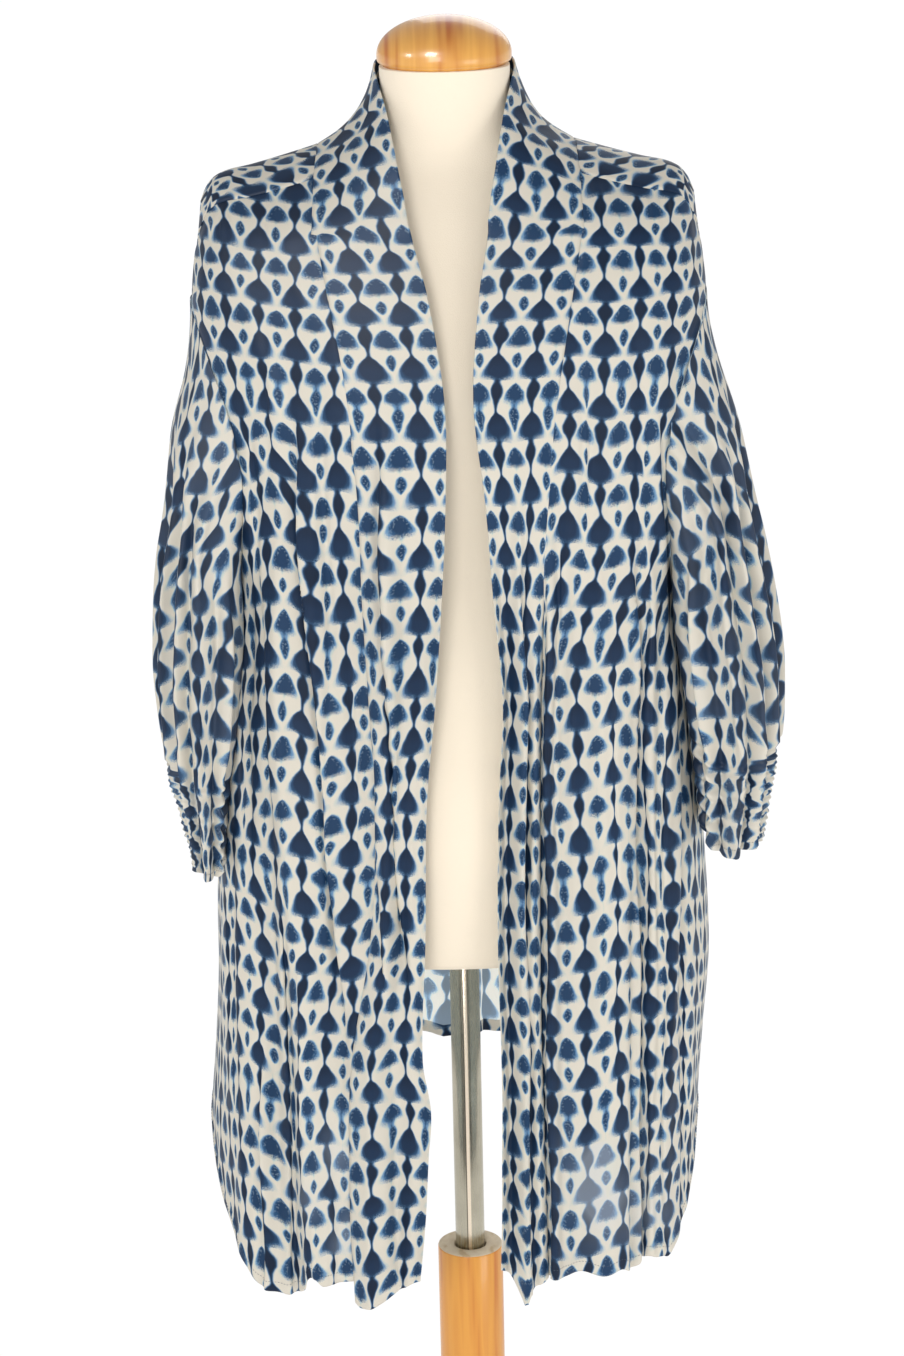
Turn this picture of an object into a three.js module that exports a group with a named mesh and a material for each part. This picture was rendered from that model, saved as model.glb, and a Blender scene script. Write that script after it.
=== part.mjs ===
// Open kimono-style jacket of thin printed viscose, worn on a limbless dress form with a wooden post.
// Millimetres, +Z up. The origin is the middle of the foot's underside, the wearer faces -Y,
// and "right" is the side of +X, seen from in front.
import * as THREE from "three";

const { cos, sin, asin, acos, abs, min, max, pow, PI } = Math;
const radians = THREE.MathUtils.degToRad;

// ---- driving dimensions ----
const CLOTH = 1.4;               // wall of a single layer
const BAND_CLOTH = 2.2;          // the band is folded double
const SEAM_GAP = 0.3;            // between two pieces that are sewn together
const SHOULDER_ROUND = 60;       // radius of the cloth over the shoulder, seen from the side
const SHOULDER_SLOPE = 0.28;     // how far the cloth there leans outwards
const SHOULDER_TOP = 1440;       // above every point of the shoulder line
const RIDGE_Y = 5;
const SEAM_FORWARD = 50;         // the shoulder seam lies this far in front of the ridge
const SECTION_POWER = 0.75;      // under 1 makes the body's section squarer than an ellipse
const ARMHOLE = { low: 1035, high: 1285, frontCut: 31, backCut: 24, levels: 10 };
const BACK_HEM = 560;
const FRONT_HEM = 436;
const SIDE_CORNER = { from: 0.36, power: 1.5 };   // the front hem rises from this share of the panel's width
const PLAIN_TO = 700;            // rows are spread evenly from the hem up to this height

// height of the shoulder ridge by distance from the middle; it rounds down over the tip
const RIDGE = [
  { x: 0, z: 1427 },
  { x: 60, z: 1425 },
  { x: 80, z: 1418 },
  { x: 98, z: 1409 },
  { x: 130, z: 1399 },
  { x: 160, z: 1391 },
  { x: 185, z: 1385 },
  { x: 197, z: 1375 },
  { x: 206, z: 1354 },
];

// half widths at the side seams and depths from the middle plane, by height
const BODY = [
  { z: 400, left: 222, right: 197, front: 130, back: 150 },
  { z: 550, left: 226, right: 203, front: 128, back: 151 },
  { z: 634, left: 219, right: 209, front: 127, back: 150 },
  { z: 700, left: 214, right: 214, front: 126, back: 148 },
  { z: 770, left: 212, right: 212, front: 125, back: 145 },
  { z: 850, left: 205, right: 206, front: 124, back: 141 },
  { z: 930, left: 191, right: 196, front: 122, back: 134 },
  { z: 1035, left: 182, right: 184, front: 121, back: 121 },
  { z: 1110, left: 195, right: 196, front: 124, back: 113 },
  { z: 1200, left: 207, right: 207, front: 127, back: 110 },
  { z: 1285, left: 212, right: 212, front: 117, back: 108 },
  { z: 1350, left: 204, right: 204, front: 92, back: 100 },
  { z: 1400, left: 200, right: 201, front: 70, back: 84 },
  { z: 1440, left: 200, right: 201, front: 60, back: 74 },
];

// the free edge of each band and the seam that joins it to the front, from the middle, by height
const OPENING = [
  { z: 424, leftEdge: 47, leftSeam: 101, rightEdge: 25, rightSeam: 67 },
  { z: 500, leftEdge: 39, leftSeam: 103, rightEdge: 28, rightSeam: 66 },
  { z: 560, leftEdge: 35, leftSeam: 102, rightEdge: 29, rightSeam: 65 },
  { z: 602, leftEdge: 32, leftSeam: 101, rightEdge: 30, rightSeam: 65 },
  { z: 650, leftEdge: 38, leftSeam: 97, rightEdge: 30, rightSeam: 64 },
  { z: 760, leftEdge: 33, leftSeam: 78, rightEdge: 29, rightSeam: 64 },
  { z: 876, leftEdge: 29, leftSeam: 71, rightEdge: 32, rightSeam: 66 },
  { z: 963, leftEdge: 20, leftSeam: 74, rightEdge: 37, rightSeam: 68 },
  { z: 1049, leftEdge: 13, leftSeam: 77, rightEdge: 31, rightSeam: 72 },
  { z: 1132, leftEdge: 8, leftSeam: 78, rightEdge: 26, rightSeam: 79 },
  { z: 1215, leftEdge: 7, leftSeam: 85, rightEdge: 18, rightSeam: 85 },
  { z: 1296, leftEdge: 18, leftSeam: 97, rightEdge: 24, rightSeam: 98 },
  { z: 1355, leftEdge: 32, leftSeam: 106, rightEdge: 34, rightSeam: 108 },
  { z: 1440, leftEdge: 36, leftSeam: 107, rightEdge: 38, rightSeam: 109 },
];

// from the shoulder seam to the centre back: the band's seam on the body, given by its distance from the
// middle and behind the shoulder ridge, and its free edge, which stands up round the neck
const COLLAR = [
  { seamX: 107, behind: -94, edgeX: 33, edgeY: -91, edgeZ: 1354 },
  { seamX: 107, behind: -79, edgeX: 36, edgeY: -81, edgeZ: 1374 },
  { seamX: 107, behind: -65, edgeX: 40, edgeY: -72, edgeZ: 1394 },
  { seamX: 107, behind: -50, edgeX: 44, edgeY: -58, edgeZ: 1415 },
  { seamX: 105.5, behind: -20, edgeX: 49, edgeY: -38, edgeZ: 1438 },
  { seamX: 103.5, behind: 10, edgeX: 55, edgeY: -14, edgeZ: 1457 },
  { seamX: 98, behind: 35, edgeX: 58, edgeY: 10, edgeZ: 1467 },
  { seamX: 88, behind: 50, edgeX: 54, edgeY: 33, edgeZ: 1472 },
  { seamX: 76, behind: 59, edgeX: 43, edgeY: 51, edgeZ: 1474 },
  { seamX: 50, behind: 63.5, edgeX: 24, edgeY: 61, edgeZ: 1475 },
  { seamX: 0, behind: 65, edgeX: 0, edgeY: 65, edgeZ: 1475 },
];

// upright folds: distance of the crest from the middle at the hem and at the top of the fold, half width,
// height off the cloth (a trough is negative), and the heights between which the fold runs
const FOLDS = {
  front_left: [
    { hemX: 128, topX: 152, width: 17, height: 9, from: 380, to: 1180 },
    { hemX: 158, topX: 168, width: 16, height: -8, from: 380, to: 900 },
    { hemX: 182, topX: 178, width: 15, height: 8, from: 380, to: 860 },
    { hemX: 108, topX: 92, width: 14, height: -7, from: 640, to: 1200 },
  ],
  front_right: [
    { hemX: 122, topX: 128, width: 16, height: 8, from: 380, to: 1110 },
    { hemX: 92, topX: 100, width: 14, height: -7, from: 380, to: 1120 },
    { hemX: 152, topX: 150, width: 16, height: -8, from: 380, to: 1000 },
    { hemX: 178, topX: 166, width: 15, height: 7, from: 380, to: 1150 },
  ],
  back: [
    { hemX: -165, topX: -120, width: 22, height: 9, from: 540, to: 1240 },
    { hemX: -105, topX: -60, width: 20, height: -8, from: 540, to: 1120 },
    { hemX: -48, topX: -30, width: 20, height: 8, from: 540, to: 1260 },
    { hemX: 8, topX: 10, width: 20, height: -7, from: 540, to: 1000 },
    { hemX: 62, topX: 42, width: 20, height: 9, from: 540, to: 1220 },
    { hemX: 118, topX: 92, width: 22, height: -8, from: 540, to: 1150 },
    { hemX: 168, topX: 132, width: 20, height: 8, from: 540, to: 1230 },
  ],
};

// each empty sleeve hangs as a flat tube beside the body: its outermost reach by height
const SLEEVE_REACH = [
  { z: 760, left: 226, right: 250 },
  { z: 800, left: 233, right: 257 },
  { z: 841, left: 241, right: 263 },
  { z: 890, left: 252, right: 273 },
  { z: 962, left: 261, right: 278 },
  { z: 1002, left: 257, right: 275 },
  { z: 1054, left: 252, right: 266 },
  { z: 1109, left: 245, right: 255 },
  { z: 1177, left: 235, right: 241 },
  { z: 1228, left: 222, right: 226 },
  { z: 1285, left: 213, right: 213 },
];
const SLEEVE = {
  clear: 2.2,          // from the body's side
  hug: 12,             // its inner side follows the body's round this far in
  middleY: -4,
  halfDepth: 78,
  blend: 0.32,         // share of its length over which the tube leaves the armhole
  rows: 11,
  left: { outerHem: 794, innerHem: 802, tipHem: 795 },
  right: { outerHem: 812, innerHem: 822, tipHem: 803 },
};
// the elastic channel draws the end of the sleeve's outer side up into small gathers, one above the other
const RUCHE = { height: 90, gathers: 15, rise: 3.2 };

// the form: a jersey-covered torso, given by half width and depths of each ring
const TORSO = [
  { z: 716, width: 152, front: 86, back: 94 },
  { z: 721, width: 164, front: 97, back: 106 },
  { z: 750, width: 170, front: 103, back: 114 },
  { z: 850, width: 173, front: 108, back: 120 },
  { z: 950, width: 150, front: 98, back: 104 },
  { z: 1050, width: 130, front: 90, back: 88 },
  { z: 1130, width: 146, front: 99, back: 90 },
  { z: 1215, width: 160, front: 109, back: 92 },
  { z: 1290, width: 166, front: 96, back: 90 },
  { z: 1340, width: 171, front: 76, back: 78 },
  { z: 1371.4, width: 162, front: 60, back: 62 },
  { z: 1391.4, width: 124, front: 50, back: 55 },
  { z: 1404.4, width: 88, front: 47, back: 51 },
  { z: 1417, width: 64, front: 47, back: 49 },
  { z: 1440, width: 53, front: 48, back: 49 },
  { z: 1469, width: 52, front: 50, back: 50 },
];
const TORSO_SIDES = 28;
const TORSO_SOCKET = { radius: 13.4, depth: 60 };
const NECK_CAP = { base: 1469.3, radius: 55, edge: 9, rise: 40 };
const POLE_RADIUS = 13;
const POST = { radius: 29, top: 419, bore: 14.2, boreDepth: 180, cornerRound: 1.5 };
const FOOT = { radius: 180, thick: 24, rim: 6, seat: 34 };
const TURN_SIDES = 36;

// ---- helpers ----
const mix = (a, b, share) => a + (b - a) * share;
const clamp01 = (value) => min(1, max(0, value));
const smooth = (value) => clamp01(value) ** 2 * (3 - 2 * clamp01(value));

/** A smooth curve through one column of a table, read by height. */
function column(table, key, by = "z") {
  const at = table.map((row) => row[by]);
  const values = table.map((row) => row[key]);
  const last = at.length - 1;
  const slope = values.map((value, i) => {
    const before = max(0, i - 1);
    const after = min(last, i + 1);
    return (values[after] - values[before]) / (at[after] - at[before]);
  });
  return (position) => {
    const z = min(at[last], max(at[0], position));
    let i = 0;
    while (i < last - 1 && z > at[i + 1]) i += 1;
    const step = at[i + 1] - at[i];
    const t = (z - at[i]) / step;
    const keep = (1 + 2 * t) * (1 - t) ** 2 * values[i] + t * t * (3 - 2 * t) * values[i + 1];
    return keep + t * (1 - t) ** 2 * step * slope[i] - t * t * (1 - t) * step * slope[i + 1];
  };
}

const halfWidth = { left: column(BODY, "left"), right: column(BODY, "right") };
const depth = { front: column(BODY, "front"), back: column(BODY, "back") };
const bandSeam = { left: column(OPENING, "leftSeam"), right: column(OPENING, "rightSeam") };
const bandEdge = { left: column(OPENING, "leftEdge"), right: column(OPENING, "rightEdge") };
const sign = { left: -1, right: 1 };
const ridgeHeight = column(RIDGE, "z", "x");

const QUARTER = (SHOULDER_ROUND * PI) / 2;

/**
 * A point on the body of the garment and the direction out of it. The angle goes round the body from the
 * middle (0) to the side seam (90 degrees), and fall is the way down the cloth from the shoulder ridge;
 * a negative fall is on the other face.
 */
function onBody(side, face, angle, fall) {
  const where = fall < 0 ? (face === "front" ? "back" : "front") : face;
  const down = abs(fall);
  const turn = min(down / SHOULDER_ROUND, PI / 2);
  const below = SHOULDER_ROUND * (1 - cos(turn)) + max(0, down - QUARTER);
  let z = ridgeHeight(halfWidth[side](SHOULDER_TOP) * sin(angle)) - below;
  let x = 0;
  for (let pass = 0; pass < 4; pass += 1) {
    x = halfWidth[side](z) * sin(angle);
    z = ridgeHeight(x) - below;
  }
  const toward = where === "front" ? -1 : 1;
  const deep = depth[where](z);
  const round = pow(max(0, cos(angle)), SECTION_POWER);
  const y = RIDGE_Y * cos(turn) + toward * deep * round * sin(turn);
  const slope = SHOULDER_SLOPE * smooth(x / 60 - 0.5);
  const out = new THREE.Vector3(
    sign[side] * (sin(angle) * sin(turn) + slope * cos(turn)),
    toward * cos(angle) * (halfWidth[side](z) / deep) * sin(turn),
    cos(turn),
  );
  return { at: new THREE.Vector3(sign[side] * x, y, z), out: out.normalize() };
}

/** The fall at which the cloth is at a height, for heights below the round of the shoulder. */
function fallTo(side, angle, z) {
  const x = halfWidth[side](z) * sin(angle);
  return ridgeHeight(x) - SHOULDER_ROUND - z + QUARTER;
}

function foldHeight(folds, x, z) {
  let total = 0;
  for (const fold of folds) {
    const share = clamp01((z - fold.from) / (fold.to - fold.from));
    const crest = mix(fold.hemX, fold.topX, share);
    const fade = smooth((fold.to - z) / 160) * mix(1, 0.55, share);
    total += fold.height * fade * Math.exp(-(((x - crest) / fold.width) ** 2));
  }
  return total;
}

/** A closed wall: a grid of outer points, the same grid moved in, and the rim between the two. */
function wall(name, grid, thick, material, wraps = false) {
  const rows = grid.length;
  const columns = grid[0].length;
  const positions = [];
  for (const inward of [0, thick]) {
    for (const row of grid) {
      for (const { at, out } of row) positions.push(...at.clone().addScaledVector(out, -inward).toArray());
    }
  }
  const layer = rows * columns;
  const index = [];
  const quad = (a, b, c, d) => index.push(a, b, c, a, c, d);
  const id = (r, c) => r * columns + (c % columns);
  const lastColumn = wraps ? columns : columns - 1;
  for (let r = 0; r < rows - 1; r += 1) {
    for (let c = 0; c < lastColumn; c += 1) {
      const [a, b, d, e] = [id(r, c), id(r, c + 1), id(r + 1, c + 1), id(r + 1, c)];
      quad(a, b, d, e);
      quad(layer + a, layer + e, layer + d, layer + b);
    }
  }
  for (let c = 0; c < lastColumn; c += 1) {
    quad(id(0, c + 1), id(0, c), layer + id(0, c), layer + id(0, c + 1));
    quad(id(rows - 1, c), id(rows - 1, c + 1), layer + id(rows - 1, c + 1), layer + id(rows - 1, c));
  }
  if (!wraps) {
    for (let r = 0; r < rows - 1; r += 1) {
      quad(id(r, 0), id(r + 1, 0), layer + id(r + 1, 0), layer + id(r, 0));
      quad(id(r + 1, columns - 1), id(r, columns - 1), layer + id(r, columns - 1), layer + id(r + 1, columns - 1));
    }
  }
  return closedMesh(name, positions, index, material);
}

/** The mesh of a closed body, with its faces turned to point out. */
function closedMesh(name, positions, index, material) {
  const corner = (i) => new THREE.Vector3().fromArray(positions, 3 * index[i]);
  let volume = 0;
  for (let i = 0; i < index.length; i += 3) volume += corner(i).dot(corner(i + 1).cross(corner(i + 2)));
  if (volume < 0) index.reverse();
  const geometry = new THREE.BufferGeometry();
  geometry.setAttribute("position", new THREE.Float32BufferAttribute(positions, 3));
  geometry.setIndex(index);
  geometry.computeVertexNormals();
  const mesh = new THREE.Mesh(geometry, material);
  mesh.name = name;
  return mesh;
}

// ---- materials ----
const finish = (color, roughness, metalness = 0) =>
  new THREE.MeshStandardMaterial({ color, roughness, metalness });
const printed = finish(0x9aa3ad, 0.55);
const jersey = finish(0xfaf0dc, 0.85);
const lacquered = finish(0xd98a3a, 0.3);
const pine = finish(0xd9a15c, 0.4);
const steel = finish(0x9c968c, 0.3, 0.9);

// ---- rows shared by the pieces that are sewn together ----
const armholeHeights = Array.from({ length: ARMHOLE.levels }, (_, i) => {
  const share = i / (ARMHOLE.levels - 1);
  return mix(ARMHOLE.low, ARMHOLE.high, (1 - cos(PI * share)) / 2);
});
const BODY_HEIGHTS = [PLAIN_TO, 760, 830, 900, 970, ...armholeHeights];
const HEM_ROWS = 7;

/** How far the armhole cuts in from the side at a height, in radians round the body. */
function armholeCut(face, z) {
  const share = clamp01((z - ARMHOLE.low) / (ARMHOLE.high - ARMHOLE.low));
  const deepest = face === "front" ? ARMHOLE.frontCut : ARMHOLE.backCut;
  return radians(deepest) * pow(max(0, sin(PI * share)), 0.6);
}

/** The front hem runs level from the band, then rises in a round corner to the side seam. */
function frontHem(share) {
  const rise = clamp01((share - SIDE_CORNER.from) / (1 - SIDE_CORNER.from));
  return FRONT_HEM + (BACK_HEM - FRONT_HEM) * pow(rise, SIDE_CORNER.power);
}

const seamAngle = (side, z) => asin((bandSeam[side](z) + SEAM_GAP) / halfWidth[side](z));
const topAngle = (side) => asin((COLLAR[3].seamX + SEAM_GAP) / halfWidth[side](SHOULDER_TOP));

// ---- the two fronts: from the band to the side seam and armhole, and from the hem to the shoulder seam ----
const FRONT_COLUMNS = 13;

function frontPanel(side) {
  const folds = FOLDS[`front_${side}`];
  const point = (share, angle, fall) => {
    const spot = onBody(side, "front", angle, fall);
    const { at, out } = spot;
    const nearSeam = smooth(share / 0.12) * smooth((1 - share) / 0.12);
    at.addScaledVector(out, foldHeight(folds, abs(at.x), at.z) * nearSeam);
    at.y -= SEAM_GAP / 2;
    return spot;
  };
  const shares = Array.from({ length: FRONT_COLUMNS + 1 }, (_, i) => i / FRONT_COLUMNS);
  const level = (height) => shares.map((share) => {
    const z = height(share);
    const angle = mix(seamAngle(side, z), PI / 2 - armholeCut("front", z), share);
    return point(share, angle, fallTo(side, angle, z));
  });
  const grid = [];
  for (let row = 0; row < HEM_ROWS; row += 1) {
    grid.push(level((share) => mix(frontHem(share), PLAIN_TO, row / HEM_ROWS)));
  }
  for (const z of BODY_HEIGHTS) grid.push(level(() => z));
  for (const row of COLLAR.slice(0, 4)) {
    const fall = -row.behind + (row === COLLAR[3] ? SEAM_GAP : 0);
    grid.push(shares.map((share) => point(share, mix(topAngle(side), PI / 2, share), fall)));
  }
  return wall(`front_${side}`, grid, CLOTH, printed);
}

// ---- the back: one piece from side seam to side seam, over the shoulders to the seams in front ----
const BACK_SIDE_COLUMNS = 8;

function backPanel() {
  const neck = COLLAR.slice(3);
  const half = (side) => {
    const wide = halfWidth[side](SHOULDER_TOP);
    const outer = Array.from({ length: BACK_SIDE_COLUMNS }, (_, i) => ({
      angle: mix(topAngle(side), PI / 2, 1 - i / BACK_SIDE_COLUMNS),
      top: -SEAM_FORWARD + SEAM_GAP,
      fullCut: true,
    }));
    const inner = neck.map((row) => ({
      angle: asin((row.seamX + (row.seamX > 100 ? SEAM_GAP : 0)) / wide),
      top: row.behind + SEAM_GAP,
    }));
    return [...outer, ...inner].map((entry) => ({ ...entry, side }));
  };
  const left = half("left");
  const right = half("right").reverse().slice(1);
  const columns = [...left, ...right];
  const point = ({ side, angle }, fall, seamAngleShare = 1) => {
    const spot = onBody(side, "back", angle * seamAngleShare, fall);
    const { at, out } = spot;
    const nearSeam = smooth((PI / 2 - angle) / 0.2);
    if (fall > QUARTER) at.addScaledVector(out, foldHeight(FOLDS.back, at.x, at.z) * nearSeam);
    at.y += SEAM_GAP / 2;
    return spot;
  };
  const level = (z) => columns.map((entry) => {
    const widest = 1 - armholeCut("back", z) / (PI / 2);
    const angle = entry.angle * widest;
    return point(entry, fallTo(entry.side, angle, z), widest);
  });
  const grid = [];
  for (let row = 0; row < HEM_ROWS - 2; row += 1) grid.push(level(mix(BACK_HEM, PLAIN_TO, row / (HEM_ROWS - 2))));
  for (const z of BODY_HEIGHTS) grid.push(level(z));
  const TOP_ROWS = 7;
  for (let row = 0; row <= TOP_ROWS; row += 1) {
    grid.push(columns.map((entry) => point(entry, mix(QUARTER, entry.top, row / TOP_ROWS))));
  }
  return wall("back", grid, CLOTH, printed);
}

// ---- the band: a folded strip that edges the opening from the hem, round the neck, to the centre back ----
const BAND_COLUMNS = 4;
const COLLAR_HOLLOW = 7;   // the band curves up from the shoulder to the neck
const BAND_TIP = { left: { drop: 22, at: 0.15, wide: 0.5 }, right: { drop: 22, at: 0.6, wide: 0.3 } };

function band(side) {
  const across = Array.from({ length: BAND_COLUMNS + 1 }, (_, i) => i / BAND_COLUMNS);
  const tip = BAND_TIP[side];
  const frontRow = (z, tipShare = 0) => across.map((share) => {
    const x = mix(bandSeam[side](z), bandEdge[side](z), share);
    const angle = asin(x / halfWidth[side](z));
    const drop = tip.drop * tipShare * smooth(1 - abs(share - tip.at) / tip.wide);
    const spot = onBody(side, "front", angle, fallTo(side, angle, z - drop));
    const hang = smooth((1200 - z) / 300);
    spot.at.addScaledVector(spot.out, 5 * hang * sin(PI * 2 * share) * (share < 0.5 ? 1 : 1.4));
    spot.at.y -= SEAM_GAP / 2;
    return spot;
  });
  const grid = [];
  for (let row = 0; row < HEM_ROWS; row += 1) {
    const share = row / HEM_ROWS;
    grid.push(frontRow(mix(FRONT_HEM, PLAIN_TO, share), (1 - share) ** 3));
  }
  for (const z of BODY_HEIGHTS) grid.push(frontRow(z));
  for (const row of COLLAR) {
    const wide = halfWidth[side](SHOULDER_TOP);
    const lift = row.behind > -SEAM_FORWARD ? 1 : 0;
    const seam = onBody(side, "back", asin(row.seamX / wide), row.behind - lift);
    seam.at.y -= SEAM_GAP / 2;
    const middle = row.seamX === 0 ? sign[side] * SEAM_GAP : 0;
    const edge = new THREE.Vector3(sign[side] * row.edgeX + middle, row.edgeY, row.edgeZ);
    seam.at.x += middle;
    const inward = new THREE.Vector3(-edge.x, -edge.y * 0.8, 0).normalize();
    const out = new THREE.Vector3(-inward.x, -inward.y, 0.35).normalize();
    const hollow = COLLAR_HOLLOW * smooth((row.behind + SEAM_FORWARD) / 40) * smooth(row.seamX / 98);
    grid.push(across.map((share) => ({
      at: seam.at.clone().lerp(edge, share).addScaledVector(out, -hollow * sin(PI * share)),
      out: seam.out.clone().lerp(out, smooth(share * 2)).normalize(),
    })));
  }
  return wall(`band_${side}`, grid, BAND_CLOTH, printed);
}

// ---- the sleeves: flat empty tubes from the armhole to a hem that is drawn up on its outer side ----
function sleeve(side) {
  const reach = column(SLEEVE_REACH, side);
  const { outerHem, innerHem, tipHem } = SLEEVE[side];
  const proud = CLOTH + SEAM_GAP + 0.2;
  const seamPoint = (face, z) => {
    const angle = PI / 2 - armholeCut(face, z);
    const { at, out } = onBody(side, face, angle, fallTo(side, angle, z));
    return at.addScaledVector(out, proud);
  };
  const last = ARMHOLE.levels - 1;
  const ring = [];
  for (let i = last; i >= 0; i -= 1) ring.push({ face: "front", z: armholeHeights[i], round: (last - i) / last });
  for (let i = 1; i < last; i += 1) ring.push({ face: "back", z: armholeHeights[i], round: 2 - (last - i) / last });
  const tube = (round, z) => {
    const inner = z > ARMHOLE.low ? mix(halfWidth[side](ARMHOLE.low), 176, smooth((z - ARMHOLE.low) / 200))
      : halfWidth[side](z);
    const from = inner + SLEEVE.clear;
    const halfThick = (reach(z) - from) / 2;
    const turn = PI * round;
    const flat = cos(turn) >= 0 ? pow(cos(turn), 0.8) : -pow(-cos(turn), 0.5);
    const y = SLEEVE.middleY - SLEEVE.halfDepth * sin(turn);
    const bodyRound = sin(acos(pow(min(1, abs(y) / depth.front(z)), 1 / SECTION_POWER)));
    const inwards = min(SLEEVE.hug, inner * (1 - bodyRound)) * (1 - flat) / 2;
    return new THREE.Vector3(sign[side] * (from + halfThick * (1 + flat) - inwards), y, z);
  };
  const hemHeight = (round) => {
    const outer = (1 + cos(PI * round)) / 2;
    const tip = Math.exp(-(((round - 0.42) / 0.2) ** 2));
    return mix(mix(innerHem, outerHem, outer), tipHem, tip);
  };
  const shares = Array.from({ length: SLEEVE.rows }, (_, i) => i / SLEEVE.rows);
  const gatherRows = RUCHE.gathers * 2;
  const grid = [];
  const place = ({ face, z: top, round }, share, below = 0, rise = 0) => {
    const hem = hemHeight(round);
    const ruched = hem + RUCHE.height;
    const z = share < 1 ? mix(top, ruched, share) : ruched - below * RUCHE.height;
    const free = clamp01(share / SLEEVE.blend);
    const blend = 1 - (1 - free) ** 2;
    const at = seamPoint(face, top);
    const start = at.z;
    at.lerp(tube(round, z), blend);
    at.z = mix(start, z, share < 1 ? share : 1);
    if (share < 1) at.z = z + (start - top) * (1 - share);
    const turn = PI * round;
    const out = new THREE.Vector3(sign[side] * cos(turn), -sin(turn) * 0.6, 0).normalize();
    const outer = pow(max(0, cos(turn)), 3);
    at.addScaledVector(out, outer * rise);
    return { at, out };
  };
  for (const share of shares) grid.push(ring.map((entry) => place(entry, share)));
  for (let row = 0; row <= gatherRows; row += 1) {
    const crest = row % 2 === 0 ? 0 : RUCHE.rise;
    grid.push(ring.map((entry) => place(entry, 1, row / gatherRows, crest)));
  }
  return wall(`sleeve_${side}`, grid, CLOTH, printed, true);
}

// ---- the dress form ----
function torso() {
  const rings = [];
  const circle = (radius, z) => ({ width: radius, front: radius, back: radius, z, power: 1 });
  const bottom = TORSO[0].z;
  rings.push(circle(TORSO_SOCKET.radius, bottom + TORSO_SOCKET.depth));
  rings.push(circle(TORSO_SOCKET.radius, bottom));
  for (const row of TORSO) rings.push({ ...row, power: 0.85 });
  const positions = [0, 0, bottom + TORSO_SOCKET.depth];
  for (const { width, front, back, z, power } of rings) {
    for (let i = 0; i < TORSO_SIDES; i += 1) {
      const turn = (2 * PI * i) / TORSO_SIDES;
      const deep = cos(turn) > 0 ? front : back;
      positions.push(width * sin(turn), -Math.sign(cos(turn)) * deep * pow(abs(cos(turn)), power), z);
    }
  }
  positions.push(0, 0, TORSO[TORSO.length - 1].z);
  const index = [];
  const top = positions.length / 3 - 1;
  const id = (ring, i) => 1 + ring * TORSO_SIDES + (i % TORSO_SIDES);
  for (let i = 0; i < TORSO_SIDES; i += 1) {
    index.push(0, id(0, i), id(0, i + 1));
    for (let ring = 0; ring < rings.length - 1; ring += 1) {
      index.push(id(ring, i), id(ring + 1, i), id(ring + 1, i + 1));
      index.push(id(ring, i), id(ring + 1, i + 1), id(ring, i + 1));
    }
    index.push(top, id(rings.length - 1, i + 1), id(rings.length - 1, i));
  }
  return closedMesh("form_torso", positions, index, jersey);
}

/** A turned piece: a profile of [radius, height] pairs from the axis back to the axis. */
function turned(name, profile, material) {
  const lathe = new THREE.LatheGeometry(profile.map(([r, z]) => new THREE.Vector2(r, z)), TURN_SIDES);
  const source = lathe.getAttribute("position");
  const rows = profile.length;
  const positions = [];
  const index = [];
  const key = new Map();
  const id = (side, row) => {
    const [radius, z] = profile[row];
    const name = radius === 0 ? `axis ${row}` : `${side % TURN_SIDES} ${row}`;
    if (!key.has(name)) {
      key.set(name, positions.length / 3);
      const from = (side % TURN_SIDES) * rows + row;
      positions.push(source.getX(from), -source.getZ(from), z);
    }
    return key.get(name);
  };
  for (let side = 0; side < TURN_SIDES; side += 1) {
    for (let row = 0; row < rows - 1; row += 1) {
      const [a, b, c, d] = [id(side, row), id(side + 1, row), id(side + 1, row + 1), id(side, row + 1)];
      if (a !== b) index.push(a, b, c);
      if (c !== d) index.push(a, c, d);
    }
  }
  return closedMesh(name, positions, index, material);
}

function neckCap() {
  const { base, radius, edge, rise } = NECK_CAP;
  const profile = [[0, base], [radius - 4, base], [radius, base + 4], [radius, base + edge]];
  for (const degrees of [20, 40, 58, 74]) {
    const turn = radians(degrees);
    profile.push([radius * cos(turn), base + edge + (rise - edge) * sin(turn)]);
  }
  profile.push([0, base + rise]);
  return turned("neck_cap", profile, lacquered);
}

function pole() {
  const top = TORSO[0].z + TORSO_SOCKET.depth - SEAM_GAP;
  const low = POST.top - POST.boreDepth + SEAM_GAP;
  return turned("pole", [[0, low], [POLE_RADIUS, low], [POLE_RADIUS, top], [0, top]], steel);
}

function post() {
  const { radius, top, bore, boreDepth, cornerRound } = POST;
  const low = FOOT.thick + SEAM_GAP;
  return turned("post", [
    [0, low], [radius, low], [radius, top - cornerRound], [radius - cornerRound, top],
    [bore, top], [bore, top - boreDepth], [0, top - boreDepth],
  ], pine);
}

function foot() {
  const { radius, thick, rim, seat } = FOOT;
  return turned("foot", [
    [0, 0], [radius - 2, 0], [radius, 2], [radius, thick - rim], [radius - rim, thick - 2],
    [seat + 8, thick], [0, thick],
  ], pine);
}

const jacket = new THREE.Group();
jacket.name = "jacket";
jacket.add(backPanel());
for (const side of ["left", "right"]) jacket.add(frontPanel(side), band(side), sleeve(side));

const form = new THREE.Group();
form.name = "dress_form";
form.add(torso(), neckCap(), pole(), post(), foot());

const part = new THREE.Group();
part.name = "kimono_on_dress_form";
part.add(jacket, form);

export default part;
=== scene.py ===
import math

import bmesh
import bpy
import numpy as np
from mathutils import Matrix, Vector


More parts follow.
